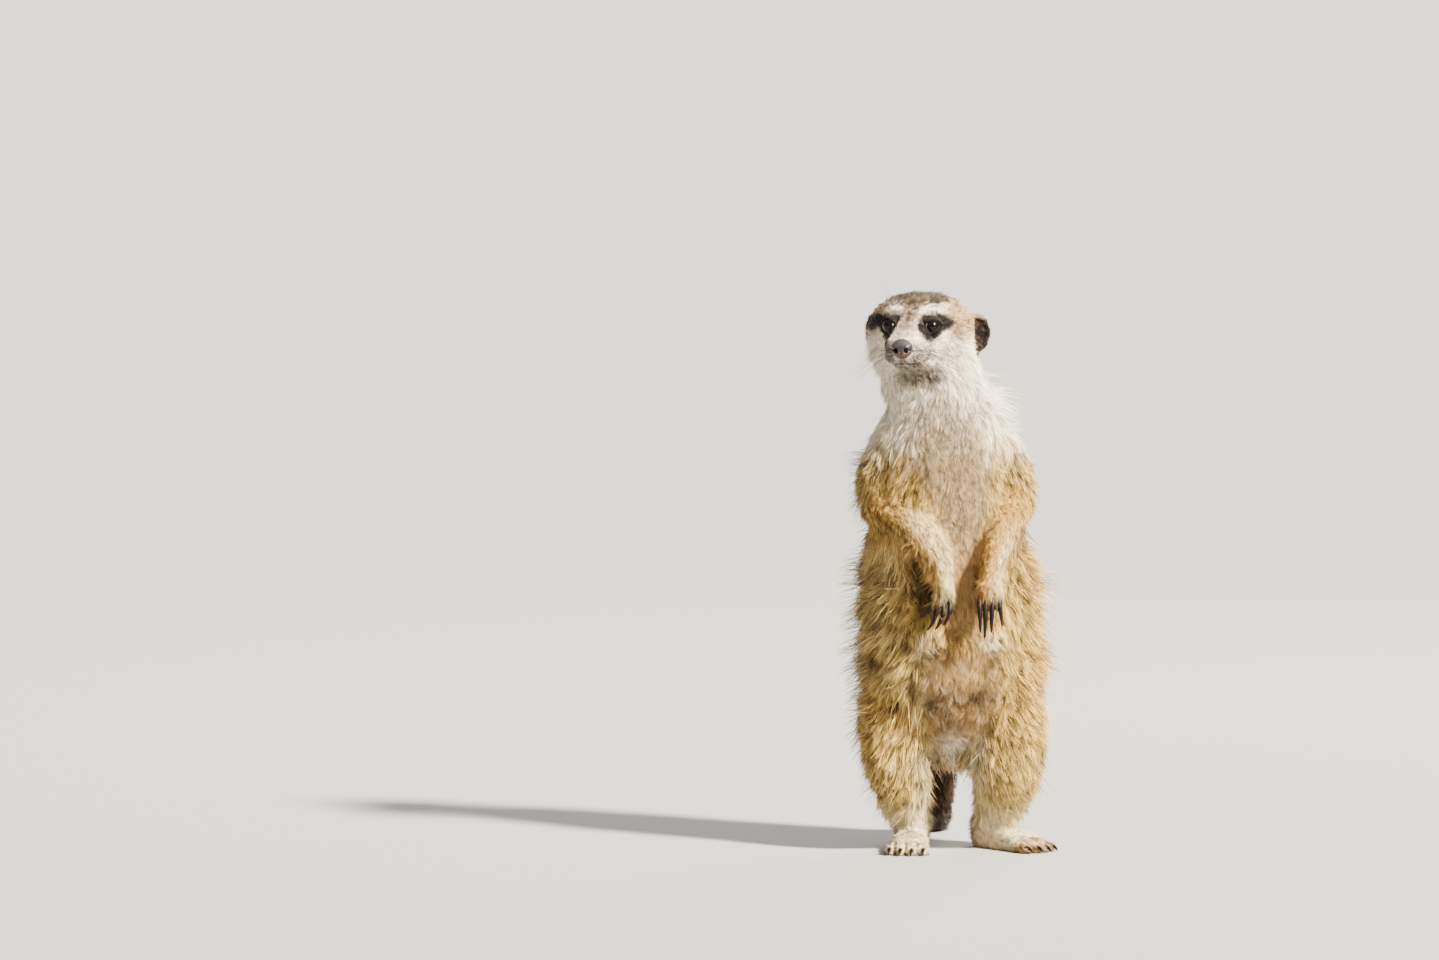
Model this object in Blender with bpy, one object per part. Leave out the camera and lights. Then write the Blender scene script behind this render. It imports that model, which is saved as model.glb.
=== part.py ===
"""A meerkat on sentry duty: upright on its hind legs, propped by its tail, paws over the belly.

A still, life-size adult. The body faces -Y, its own left side is towards +X, and the
floor is at Z = 0. Places and sizes below are in millimetres, and all of them reach out to
the tips of the coat. build() scales the finished solids to metres and sets the origin
under the middle of the whole animal.
"""

import math

import bmesh
import bpy
from mathutils import Matrix, Vector

MM = 0.001
GAP = 0.34

# Head: its middle, the way it turns to the animal's right, and its own measures.
HEAD_CENTRE = Vector((-16.6, -19.0, 280.3))
HEAD_TURN = math.radians(13)
EYE_RADIUS = 5.2
EYE_CENTRE = Vector((10.6, 18.0, 2.0))
EAR_CENTRE = Vector((26.8, -18.5, -3.5))
EAR_SWEEP = math.radians(40)
EAR_LENGTH = 8.4
EAR_HEIGHT = 10.4
EAR_THICKNESS = 2.9
NOSE_CENTRE = Vector((0.0, 42.4, -8.5))
NOSE_RADII = (5.6, 3.7, 5.2)

# Hind feet: the heel's place on the floor and the way the toes point, out from -Y.
FOOT_LENGTH = 52.0
FOOT_WIDTH = 22.0
TOE_RADIUS = 3.3
TOE_LENGTH = 13.0
HEELS = {"right": (-18.0, 21.0, math.radians(-6)), "left": (16.0, 23.0, math.radians(42))}

# Trunk: half width and half depth of its oval level cuts, from throat to crotch.
TRUNK = [
    ((-13.5, -10.0, 268), 26.5, 23),
    ((-11.5, -8.0, 257), 28, 23.5),
    ((-8.0, -7.0, 247), 29.5, 23.5),
    ((-5.5, -4.5, 237), 34, 26),
    ((-4.5, -2.0, 225), 37, 29),
    ((-3.5, 0.0, 211), 39, 31.5),
    ((-3.0, 1.0, 193), 41, 33),
    ((-1.0, 1.0, 173), 45, 33.5),
    ((0.0, 1.0, 153), 47.5, 34),
    ((0.5, 1.5, 132), 49, 35),
    ((1.0, 3.0, 110), 49, 36.5),
    ((1.0, 5.0, 90), 46.5, 38),
    ((1.0, 8.0, 74), 40, 37),
    ((1.0, 10.0, 62), 27, 29),
    ((1.0, 11.0, 56), 14, 17),
]

# Head and muzzle: half width and half height of cuts across its own forward line.
HEAD = [
    ((0, 39.0, -10.6), 5.2, 5.0),
    ((0, 36.5, -10.4), 8.2, 6.9),
    ((0, 33.0, -9.4), 10.6, 9.0),
    ((0, 27.0, -7.6), 12.4, 12.2),
    ((0, 20.0, -5.8), 13.8, 15.2),
    ((0, 12.0, -3.9), 20.5, 18.0),
    ((0, 3.0, -2.6), 26.2, 20.8),
    ((0, -6.0, -2.0), 28.6, 21.6),
    ((0, -15.0, -2.6), 27.8, 20.6),
    ((0, -22.0, -4.5), 23.0, 16.0),
]

# Limbs: centre line and half width, half depth, from the body outwards.
UPPER_ARMS = {
    "right": [
        ((-26, -7, 226), 10, 12),
        ((-32, -5, 214), 13, 14),
        ((-36, -4, 200), 13.5, 15),
        ((-37, -4, 187), 12.5, 14),
    ],
    "left": [
        ((21, -7, 226), 10, 12),
        ((29, -5, 214), 13, 14),
        ((33, -4, 200), 13, 15),
        ((34.5, -4, 187), 12, 14),
    ],
}
FOREARMS = {
    "right": [
        ((-36, -6, 184), 12, 13),
        ((-28, -17, 180), 12.5, 12.5),
        ((-19, -27, 174.5), 11.8, 11.0),
        ((-10.5, -35, 166), 9.8, 9.0),
        ((-5.4, -39, 156.5), 7.4, 7.2),
        ((-3.4, -41, 148), 6.0, 5.6),
        ((-3.4, -42, 142), 6.0, 5.0),
        ((-5.0, -42, 137), 6.2, 4.6),
    ],
    "left": [
        ((34.5, -5, 184), 11.5, 13),
        ((31, -17, 178), 10.5, 12),
        ((26.5, -28, 170), 9.2, 10.0),
        ((23.5, -36, 161), 8.2, 8.4),
        ((21.8, -40, 152), 7.5, 6.6),
        ((21.0, -42, 145), 7.4, 5.4),
        ((20.6, -43, 139), 7.4, 4.6),
    ],
}
LEGS = {
    "right": [
        ((-24, 14, 98), 20, 23),
        ((-28, 4, 76), 20.5, 24),
        ((-28, -6, 56), 20.5, 21),
        ((-26.5, -3, 41), 17.0, 18),
        ((-23.8, 6, 27), 14.0, 14.5),
        ((-19.5, 13, 15), 10.4, 11.5),
        ((-18.4, 15, 9), 8.8, 9),
    ],
    "left": [
        ((26, 14, 98), 20, 23),
        ((31, 5, 76), 20.5, 24),
        ((30.5, -4, 56), 22, 21),
        ((30, -1, 41), 19.5, 18),
        ((28, 8, 27), 15.5, 14.5),
        ((22.5, 14, 15), 11, 11.5),
        ((20.5, 17, 9), 9, 9),
    ],
}
TAIL = [
    ((0, 24, 80), 10, 12),
    ((-0.5, 40, 66), 10, 11),
    ((-1.5, 54, 48), 9.0, 9.5),
    ((-2.5, 66, 29), 8.4, 8.8),
    ((-3.5, 80, 13.5), 8.0, 8.2),
    ((-5, 100, 6.6), 7.6, 7.4),
    ((-7, 124, 5.2), 6.6, 6.2),
    ((-9, 150, 4.3), 5.4, 5.2),
    ((-11, 174, 3.4), 4.2, 4.2),
    ((-12, 192, 2.6), 2.8, 3.2),
]

# Front claws: root and tip of each, from the animal's right to its left.
FRONT_CLAWS = {
    "right": [
        ((-11.2, -42.0, 137.0), (-15.0, -44.5, 129.0)),
        ((-8.0, -43.6, 136.0), (-12.2, -45.0, 122.0)),
        ((-4.7, -44.6, 136.0), (-8.2, -47.0, 122.5)),
        ((-1.3, -44.2, 137.5), (-3.8, -46.5, 125.0)),
    ],
    "left": [
        ((15.2, -45.0, 136.5), (15.6, -46.5, 121.0)),
        ((18.4, -46.0, 136.0), (18.0, -47.0, 118.0)),
        ((22.0, -46.0, 136.5), (21.4, -47.0, 121.0)),
        ((25.6, -45.0, 137.5), (27.2, -46.0, 124.0)),
    ],
}
FRONT_CLAW_RADIUS = 1.45
HIND_CLAW_RADIUS = 1.1
HIND_CLAW_LENGTH = 5.0

COLOURS = {
    "coat": (0.56, 0.40, 0.20),
    "pale_coat": (0.80, 0.71, 0.54),
    "head_coat": (0.78, 0.70, 0.58),
    "chest_coat": (0.44, 0.33, 0.24),
    "dark_coat": (0.13, 0.08, 0.05),
    "ear_coat": (0.07, 0.045, 0.035),
    "tail_coat": (0.20, 0.09, 0.035),
    "nose_skin": (0.10, 0.085, 0.085),
    "eye_brown": (0.03, 0.014, 0.008),
    "claw_horn": (0.045, 0.038, 0.036),
}
ROUGHNESS = {"nose_skin": 0.45, "eye_brown": 0.05, "claw_horn": 0.35}


def clear_scene():
    for obj in list(bpy.data.objects):
        bpy.data.objects.remove(obj, do_unlink=True)


def material(name):
    found = bpy.data.materials.get(name)
    if found:
        return found
    made = bpy.data.materials.new(name)
    made.use_nodes = True
    made.diffuse_color = (*COLOURS[name], 1)
    shader = made.node_tree.nodes["Principled BSDF"]
    shader.inputs["Base Color"].default_value = (*COLOURS[name], 1)
    shader.inputs["Roughness"].default_value = ROUGHNESS.get(name, 0.9)
    return made


def link(name, mesh):
    obj = bpy.data.objects.new(name, mesh)
    bpy.context.scene.collection.objects.link(obj)
    return obj


# --- Shapes, each added to a bmesh -----------------------------------------------------


def add_ring(bm, centre, wide, deep, sides, power):
    """An oval of points; a power over 2 squares its corners."""
    points = []
    for step in range(sides):
        turn = 2 * math.pi * step / sides
        across = math.copysign(abs(math.cos(turn)) ** (2 / power), math.cos(turn))
        along = math.copysign(abs(math.sin(turn)) ** (2 / power), math.sin(turn))
        points.append(bm.verts.new(centre + wide * across + deep * along))
    return points


def flowing(stations, steps=4):
    """More stations between the given ones, on a smooth curve through them."""
    rows = [Vector((*centre, width, depth)) for centre, width, depth in stations]
    rows = [2 * rows[0] - rows[1], *rows, 2 * rows[-1] - rows[-2]]
    found = []
    for before, start, end, after in zip(rows, rows[1:], rows[2:], rows[3:]):
        for step in range(steps):
            t = step / steps
            blend = before * (2 * t**2 - t - t**3) + start * (2 - 5 * t**2 + 3 * t**3)
            blend += end * (t + 4 * t**2 - 3 * t**3) + after * (t**3 - t**2)
            found.append(blend / 2)
    found.append(rows[-2])
    return [(Vector(row[:3]), row[3], row[4]) for row in found]


def loft(bm, stations, side=(1, 0, 0), sides=28, power=2.0, cap=(30, 58, 80)):
    """A closed body through oval cuts, (centre, half width, half depth), with round ends.

    The widths lie along side, square to the centre line. cap is the turns of the ends' rings.
    """
    centres = [Vector(centre) for centre, _, _ in stations]
    rings = []
    for index, (_, half_width, half_depth) in enumerate(stations):
        before = centres[max(index - 1, 0)]
        after = centres[min(index + 1, len(stations) - 1)]
        forward = (after - before).normalized()
        across = (Vector(side) - forward * forward.dot(Vector(side))).normalized()
        wide = across * half_width
        deep = forward.cross(across) * half_depth
        reach = forward * min(half_width, half_depth)
        section = [(centres[index], wide, deep)]
        caps = [
            (centres[index] + reach * math.sin(turn), wide * math.cos(turn), deep * math.cos(turn))
            for turn in map(math.radians, cap)
        ]
        if index == 0:
            mirrored = [(2 * centres[0] - centre, w, d) for centre, w, d in reversed(caps)]
            section = mirrored + section
        if index == len(stations) - 1:
            section = section + caps
        rings += [add_ring(bm, c, w, d, sides, power) for c, w, d in section]
    for lower, upper in zip(rings, rings[1:]):
        for step in range(sides):
            nxt = (step + 1) % sides
            bm.faces.new((lower[step], lower[nxt], upper[nxt], upper[step]))
    bm.faces.new(list(reversed(rings[0])))
    bm.faces.new(rings[-1])


def ball(bm, centre, radii, turn=None, sides=14):
    """An oval ball."""
    scale = Matrix.Diagonal((*radii, 1))
    place = Matrix.Translation(centre) @ (turn or Matrix.Identity(4)) @ scale
    bmesh.ops.create_uvsphere(bm, u_segments=sides, v_segments=sides * 5 // 7, radius=1, matrix=place)


# --- From shapes to solids -------------------------------------------------------------


def finished(bm):
    """Closes a bmesh into a mesh of outward triangles."""
    bmesh.ops.remove_doubles(bm, verts=bm.verts, dist=0.004)
    bmesh.ops.dissolve_degenerate(bm, edges=bm.edges, dist=0.004)
    bmesh.ops.triangulate(bm, faces=bm.faces)
    bmesh.ops.recalc_face_normals(bm, faces=bm.faces)
    mesh = bpy.data.meshes.new("solid")
    bm.to_mesh(mesh)
    bm.free()
    return mesh


def opened(mesh):
    bm = bmesh.new()
    bm.from_mesh(mesh)
    return bm


def modified(mesh, *modifiers):
    """The mesh after a chain of modifiers, each (type, settings)."""
    obj = link("work", mesh)
    for kind, settings in modifiers:
        modifier = obj.modifiers.new(kind.title(), kind)
        for key, value in settings.items():
            setattr(modifier, key, value)
    graph = bpy.context.evaluated_depsgraph_get()
    result = bpy.data.meshes.new_from_object(obj.evaluated_get(graph))
    bpy.data.objects.remove(obj)
    return result


def largest_piece(bm):
    """Keeps the biggest connected piece only."""
    left = set(bm.verts)
    pieces = []
    while left:
        stack = [left.pop()]
        piece = set(stack)
        while stack:
            for edge in stack.pop().link_edges:
                for vert in edge.verts:
                    if vert not in piece:
                        piece.add(vert)
                        stack.append(vert)
        left -= piece
        pieces.append(piece)
    pieces.sort(key=len, reverse=True)
    for piece in pieces[1:]:
        bmesh.ops.delete(bm, geom=list(piece), context="VERTS")
    return bm


def fused(bm, voxel, smoothing, triangles):
    """Melts overlapping shapes into one skin, softens it and thins it out."""
    soft = modified(
        finished(bm),
        ("REMESH", {"mode": "VOXEL", "voxel_size": voxel}),
        ("SMOOTH", {"factor": 0.5, "iterations": smoothing}),
    )
    soft = finished(largest_piece(opened(soft)))
    ratio = triangles / len(soft.polygons)
    return modified(soft, ("DECIMATE", {"ratio": ratio, "use_collapse_triangulate": True}))


def parted(mesh, *planes):
    """The part of a solid in front of all the planes, (point, direction), with flat cuts."""
    bm = opened(mesh)
    for point, direction in planes:
        outward = Vector(direction).normalized()
        start = Vector(point) + outward * GAP / 2
        geometry = bm.verts[:] + bm.edges[:] + bm.faces[:]
        bmesh.ops.bisect_plane(
            bm, geom=geometry, dist=0.02, plane_co=start, plane_no=outward, clear_inner=True
        )
        for vert in bm.verts:
            height = (vert.co - start).dot(outward)
            if abs(height) < 0.03:
                vert.co -= outward * height
        rim = [edge for edge in bm.edges if edge.is_boundary]
        bmesh.ops.holes_fill(bm, edges=rim, sides=0)
        bmesh.ops.triangulate(bm, faces=bm.faces)
    return finished(largest_piece(bm))


def behind(*planes):
    """The same planes facing the other way."""
    return [(point, -Vector(direction)) for point, direction in planes]


def swollen(mesh, by):
    """A copy whose surface stands off by a distance."""
    bm = opened(mesh)
    bm.normal_update()
    for vert in bm.verts:
        vert.co += vert.normal * by * vert.calc_shell_factor()
    return finished(bm)


def carved(mesh, *tools):
    """A solid with other solids cut out of it."""
    for tool in tools:
        cutter = link("cutter", tool)
        mesh = modified(
            mesh, ("BOOLEAN", {"operation": "DIFFERENCE", "object": cutter, "solver": "EXACT"})
        )
        bpy.data.objects.remove(cutter)
    return finished(largest_piece(opened(mesh)))


def thinned(mesh):
    """The same solid with its slivers and nearly flat runs of faces joined."""
    bm = opened(mesh)
    bmesh.ops.dissolve_limit(bm, angle_limit=math.radians(3), verts=bm.verts, edges=bm.edges)
    return finished(bm)


def node(name, mesh, colour):
    """A sub-part in its own object and material, still in millimetres."""
    mesh = thinned(mesh)
    mesh.name = name
    mesh.materials.clear()
    mesh.materials.append(material(colour))
    mesh.shade_smooth()
    mesh.set_sharp_from_angle(angle=math.radians(55))
    return link(name, mesh)


# --- Head ------------------------------------------------------------------------------


def head_place():
    """From the head's own frame (left, back, up) to the body's."""
    return Matrix.Translation(HEAD_CENTRE) @ Matrix.Rotation(-HEAD_TURN, 4, "Z")


def in_head(point):
    """A point of the head, (left, forward, up) from its middle."""
    left, forward, up = point
    return head_place() @ Vector((left, -forward, up))


def mirrored(point, sign):
    return Vector((point[0] * sign, point[1], point[2]))


def add_head(bm):
    """Skull, muzzle, jaw, brows and the fluffy cheeks, before they melt together."""
    turned = head_place().to_3x3()
    stations = [(in_head(centre), width, height) for centre, width, height in HEAD]
    loft(bm, flowing(stations), side=turned @ Vector((1, 0, 0)), power=2.15)
    turn = turned.to_4x4()
    for sign in (-1, 1):
        ball(bm, in_head(mirrored((14, -6, -12), sign)), (15.5, 15, 11.5), turn)
        ball(bm, in_head(mirrored((9.0, 11, 8.0), sign)), (8.0, 9.5, 6.0), turn)
        ball(bm, in_head(mirrored((4.8, 33.5, -11.5), sign)), (6.6, 8.0, 6.2), turn)
    ball(bm, in_head((0, 30, -15.2)), (8.0, 6.5, 5.4), turn)
    ball(bm, in_head((0, 16, -16.0)), (13, 14, 7.0), turn)


def ear_turn(sign):
    """The ear's cup opens forwards and outwards."""
    return head_place().to_3x3().to_4x4() @ Matrix.Rotation(EAR_SWEEP * sign, 4, "Z")


def ear_solid(sign, swell=0.0):
    """A rounded cup: an oval plate with a hollow scooped from its outer face."""
    turn = ear_turn(sign)
    centre = in_head(mirrored(EAR_CENTRE, sign))
    outer = bmesh.new()
    radii = (EAR_LENGTH + swell, EAR_THICKNESS + swell, EAR_HEIGHT + swell)
    ball(outer, centre, radii, turn)
    if swell:
        return finished(outer)
    hollow = bmesh.new()
    offset = turn @ Vector((0, -EAR_THICKNESS * 1.05, 0))
    ball(hollow, centre + offset, (EAR_LENGTH - 2.6, 2.6, EAR_HEIGHT - 2.8), turn, sides=10)
    return carved(finished(outer), finished(hollow))


def eye_solid(sign, swell=0.0):
    bm = bmesh.new()
    radius = EYE_RADIUS + swell
    ball(bm, in_head(mirrored(EYE_CENTRE, sign)), (radius, radius, radius), sides=12)
    return finished(bm)


def nose_solid(swell=0.0):
    """The bare pad: a broad oval over a narrower lower half."""
    bm = bmesh.new()
    turn = head_place().to_3x3().to_4x4()
    wide, deep, high = (radius + swell for radius in NOSE_RADII)
    ball(bm, in_head(NOSE_CENTRE), (wide, deep, high), turn, sides=12)
    return finished(bm)


# --- Feet, claws and tail --------------------------------------------------------------


def foot_frame(side):
    """The heel's place, and the forward and sideways directions of a hind foot."""
    x, y, turn = HEELS[side]
    forward = Vector((math.sin(turn), -math.cos(turn), 0))
    return Vector((x, y, 0)), forward, Vector((math.cos(turn), math.sin(turn), 0))


def toes_of(side):
    """Root and tip of each of the four toes, which spread a little."""
    heel, forward, across = foot_frame(side)
    found = []
    for index in range(4):
        spread = (index - 1.5) / 1.5
        reach = FOOT_LENGTH - 2.5 * abs(spread)
        root = heel + forward * (reach - TOE_LENGTH) + across * spread * (FOOT_WIDTH / 2 - 4)
        tip = heel + forward * (reach - TOE_RADIUS) + across * spread * (FOOT_WIDTH / 2 - 2)
        found.append((root + Vector((0, 0, 4.0)), tip + Vector((0, 0, 2.4))))
    return found


def add_foot(bm, side):
    """Heel, sole and toes; they reach below the floor, where the flat sole is cut."""
    heel, forward, across = foot_frame(side)
    lift = Vector((0, 0, 1))
    stations = [
        (heel + forward * 5 + lift * 5.2, 7.6, 6.8),
        (heel + forward * 14 + lift * 6.0, 8.8, 8.0),
        (heel + forward * 26 + lift * 5.0, 9.4, 7.2),
        (heel + forward * 37 + lift * 4.0, 10.2, 5.8),
        (heel + forward * 43 + lift * 3.4, 10.4, 4.8),
    ]
    loft(bm, flowing(stations), side=across)
    for root, tip in toes_of(side):
        loft(bm, [(root, TOE_RADIUS, TOE_RADIUS), (tip, TOE_RADIUS, TOE_RADIUS)], across, 16)


def claw_solid(root, tip, radius, bow, swell=0.0):
    """A curved horn that tapers from root to tip and bows towards bow."""
    bm = bmesh.new()
    root, tip, bow = Vector(root), Vector(tip), Vector(bow)
    steps = 3
    stations = []
    for step in range(steps + 1):
        part = step / steps
        centre = root.lerp(tip, part) + bow * 4 * part * (1 - part)
        size = radius * (1 - 0.78 * part ** 1.6) + swell
        stations.append((centre, size, size * 1.15))
    side = (tip - root).cross(bow)
    loft(bm, stations, side=side, sides=6, cap=(60,))
    return finished(bm)


def front_claws(side):
    """The four long digging claws of a hand, bowed forwards."""
    made = []
    for root, tip in FRONT_CLAWS[side]:
        made.append((root, tip, FRONT_CLAW_RADIUS, (0, -1.6, 0.3)))
    return made


def hind_claws(side):
    """The four shorter claws of a foot, from the toes' tips down to the floor."""
    _, forward, _ = foot_frame(side)
    made = []
    for _, tip in toes_of(side):
        root = tip + forward * 1.2 + Vector((0, 0, 0.8))
        end = root + forward * HIND_CLAW_LENGTH
        end.z = 1.0
        made.append((root, end, HIND_CLAW_RADIUS, (0, 0, 0.9)))
    return made


# --- Cuts between the named parts ------------------------------------------------------

FLOOR = ((0, 0, -GAP / 2), (0, 0, 1))
THROAT = ((-13, -9, 259), (0, -0.36, 0.93))
COLLAR = ((-6, -4, 238), (0.05, -0.12, 1))
WAIST = ((0, 0, 146), (0, 0, 1))
HIPS = {"right": ((-13, 8, 60), (-0.78, -0.12, -0.62)), "left": ((15, 8, 60), (0.78, -0.12, -0.62))}
MIDLINE = {"right": ((1, 0, 0), (-1, 0, 0)), "left": ((1, 0, 0), (1, 0, 0))}
KNEES = {"right": ((-29, -5, 45), (0.25, 0.15, -1)), "left": ((33, -2, 45), (-0.25, 0.15, -1))}
ANKLES = {"right": ((-19, 12, 16), (0.05, 0.1, -1)), "left": ((20, 13, 16), (-0.05, 0.1, -1))}
ELBOWS = {"right": ((-37, -6, 189), (0.45, -0.65, -0.62)), "left": ((34.5, -6, 189), (-0.1, -0.76, -0.65))}
WRISTS = {"right": ((-3.4, -41, 146), (0, 0, -1)), "left": ((21, -41, 148), (0, 0, -1))}
TAIL_CUTS = [((-2.2, 62, 35), (0, 0.6, -0.8)), ((-6, 112, 5), (0, 1, 0))]


def core_solid():
    """Everything that is one run of coat: head, neck, trunk and hind legs."""
    bm = bmesh.new()
    add_head(bm)
    loft(bm, flowing(TRUNK), power=2.25, sides=36)
    for side in ("right", "left"):
        loft(bm, flowing(LEGS[side]), sides=24)
        add_foot(bm, side)
    return parted(fused(bm, voxel=1.15, smoothing=9, triangles=2150), FLOOR)


def arm_solid(side):
    bm = bmesh.new()
    loft(bm, flowing(UPPER_ARMS[side]), sides=24)
    loft(bm, flowing(FOREARMS[side]), sides=24)
    return fused(bm, voxel=0.9, smoothing=6, triangles=360)


def tail_solid():
    bm = bmesh.new()
    loft(bm, flowing(TAIL), sides=24)
    return parted(fused(bm, voxel=0.9, smoothing=5, triangles=300), FLOOR)


def build_head(core, ears, eyes, nose):
    tools = [ear_solid(sign, GAP) for sign in (-1, 1)]
    tools += [eye_solid(sign, GAP) for sign in (-1, 1)]
    tools.append(nose_solid(GAP))
    node("head", carved(parted(core, THROAT), *tools), "head_coat")
    for sign, side in ((-1, "right"), (1, "left")):
        node(f"ear_{side}", ears[sign], "ear_coat")
        node(f"eye_{side}", eyes[sign], "eye_brown")
    node("nose", nose, "nose_skin")


def build_trunk(core, tools):
    hips = [plane for side in HIPS for plane in behind(HIPS[side])]
    node("neck", parted(core, *behind(THROAT), COLLAR), "pale_coat")
    chest = parted(core, *behind(COLLAR), WAIST)
    node("chest", carved(chest, *tools), "chest_coat")
    belly = parted(core, *behind(WAIST), *hips)
    node("belly", carved(belly, *tools), "chest_coat")


def build_leg(core, side, tools):
    hip, knee, ankle = HIPS[side], KNEES[side], ANKLES[side]
    thigh = parted(core, hip, MIDLINE[side], *behind(knee))
    node(f"thigh_{side}", carved(thigh, *tools), "coat")
    node(f"shank_{side}", parted(core, hip, MIDLINE[side], knee, *behind(ankle)), "coat")
    claws = hind_claws(side)
    foot = parted(core, hip, MIDLINE[side], knee, ankle)
    node(f"foot_{side}", carved(foot, *[claw_solid(*claw, GAP) for claw in claws]), "pale_coat")
    for index, claw in enumerate(claws, 1):
        node(f"hind_claw_{side}_{index}", claw_solid(*claw), "claw_horn")


def build_arm(arm, side):
    elbow, wrist = ELBOWS[side], WRISTS[side]
    node(f"upper_arm_{side}", parted(arm, *behind(elbow)), "coat")
    node(f"forearm_{side}", parted(arm, elbow, *behind(wrist)), "pale_coat")
    claws = front_claws(side)
    hand = parted(arm, wrist)
    node(f"hand_{side}", carved(hand, *[claw_solid(*claw, GAP) for claw in claws]), "pale_coat")
    for index, claw in enumerate(claws, 1):
        node(f"front_claw_{side}_{index}", claw_solid(*claw), "claw_horn")


def build_tail(tail):
    first, second = TAIL_CUTS
    node("tail_base", parted(tail, *behind(first)), "tail_coat")
    node("tail_middle", parted(tail, first, *behind(second)), "tail_coat")
    node("tail_tip", parted(tail, second), "dark_coat")


def stand_on_origin():
    """Scales everything to metres, with the origin under the middle of the whole."""
    objects = list(bpy.context.scene.collection.objects)
    corners = [vert.co for obj in objects for vert in obj.data.vertices]
    low = Vector([min(corner[axis] for corner in corners) for axis in range(3)])
    high = Vector([max(corner[axis] for corner in corners) for axis in range(3)])
    middle = Vector(((low.x + high.x) / 2, (low.y + high.y) / 2, low.z))
    for obj in objects:
        obj.data.transform(Matrix.Scale(MM, 4) @ Matrix.Translation(-middle))


def build():
    clear_scene()
    core = core_solid()
    arms = {side: arm_solid(side) for side in ("right", "left")}
    tail = tail_solid()
    ears = {sign: ear_solid(sign) for sign in (-1, 1)}
    eyes = {sign: eye_solid(sign) for sign in (-1, 1)}
    limb_tools = [swollen(arm, GAP) for arm in arms.values()]
    tail_tool = swollen(tail, GAP)
    build_head(core, ears, eyes, nose_solid())
    build_trunk(core, [*limb_tools, tail_tool])
    for side in ("right", "left"):
        build_leg(core, side, [tail_tool])
        build_arm(arms[side], side)
    build_tail(tail)
    stand_on_origin()


build()
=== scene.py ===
"""The meerkat's looks: one skin, its coat of tufts, eyes, nose, claws and whiskers.

Shapes are worked out in the body's own millimetres: the animal faces -Y, its left is +X, and
the floor is z = 0. They are moved to the frame's metres only when a mesh is made.
"""

import math

import bmesh
import bpy
import numpy as np
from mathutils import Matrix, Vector
from mathutils.bvhtree import BVHTree
from mathutils.kdtree import KDTree


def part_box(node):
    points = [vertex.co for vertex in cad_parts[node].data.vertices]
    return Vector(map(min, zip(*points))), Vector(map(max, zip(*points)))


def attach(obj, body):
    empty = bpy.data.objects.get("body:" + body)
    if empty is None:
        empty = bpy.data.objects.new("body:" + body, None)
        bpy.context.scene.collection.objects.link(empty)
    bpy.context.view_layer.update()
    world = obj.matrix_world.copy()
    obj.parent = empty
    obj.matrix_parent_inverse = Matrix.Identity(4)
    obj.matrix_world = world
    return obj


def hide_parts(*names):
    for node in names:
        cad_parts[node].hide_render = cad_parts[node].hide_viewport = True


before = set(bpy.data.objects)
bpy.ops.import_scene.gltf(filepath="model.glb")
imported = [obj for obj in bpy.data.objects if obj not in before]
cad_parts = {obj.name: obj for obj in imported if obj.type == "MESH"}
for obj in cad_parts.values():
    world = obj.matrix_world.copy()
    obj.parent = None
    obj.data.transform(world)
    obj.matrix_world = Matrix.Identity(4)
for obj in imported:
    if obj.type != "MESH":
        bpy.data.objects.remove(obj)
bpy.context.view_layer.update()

SIDES = ("right", "left")
SIGN = {"right": -1, "left": 1}
HEAD_CENTRE = np.array((-16.6, -19.0, 280.3))
HEAD_TURN = math.radians(13)
EYE_CENTRE = np.array((10.6, 18.0, 2.0))
EYE_RADIUS = 5.2
GAZE = math.radians(22)
NOSE_CENTRE = np.array((0.0, 42.4, -8.5))
EAR_CENTRE = np.array((26.8, -18.5, -3.5))
EAR_SWEEP = math.radians(40)
IRIS = 0.74
LID_WIDTH = 0.90
LID_UPPER = 0.60
LID_LOWER = 0.64

FLESH = ["head", "neck", "chest", "belly", "tail_base", "tail_middle", "tail_tip"]
for part in ("ear", "upper_arm", "forearm", "hand", "thigh", "shank", "foot"):
    FLESH += [part + "_right", part + "_left"]

# The coat of each part: its depth, a tuft's length, its lift off the skin in degrees,
# tufts to the square millimetre, and half a tuft's width.
COAT = {
    "head": (1.6, 4.6, 24, 3.2, 0.18),
    "ear": (0.4, 1.6, 22, 8.0, 0.12),
    "neck": (5.2, 8.5, 25, 2.0, 0.23),
    "chest": (4.6, 9.5, 24, 1.35, 0.26),
    "belly": (5.2, 11.5, 29, 1.25, 0.26),
    "upper_arm": (4.6, 9.0, 24, 1.7, 0.24),
    "forearm": (1.8, 4.6, 19, 3.4, 0.17),
    "hand": (0.8, 4.6, 18, 4.2, 0.16),
    "thigh": (4.8, 11.0, 28, 1.5, 0.25),
    "shank": (3.2, 8.5, 28, 2.0, 0.22),
    "foot": (0.9, 3.4, 24, 4.0, 0.16),
    "tail_base": (3.2, 8.5, 22, 1.6, 0.25),
    "tail_middle": (2.2, 6.5, 20, 1.9, 0.22),
    "tail_tip": (1.3, 5.5, 18, 2.3, 0.19),
}
# The furthest from the frame's middle, sideways, that a tuft may reach.
WIDEST = 65.5

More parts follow.
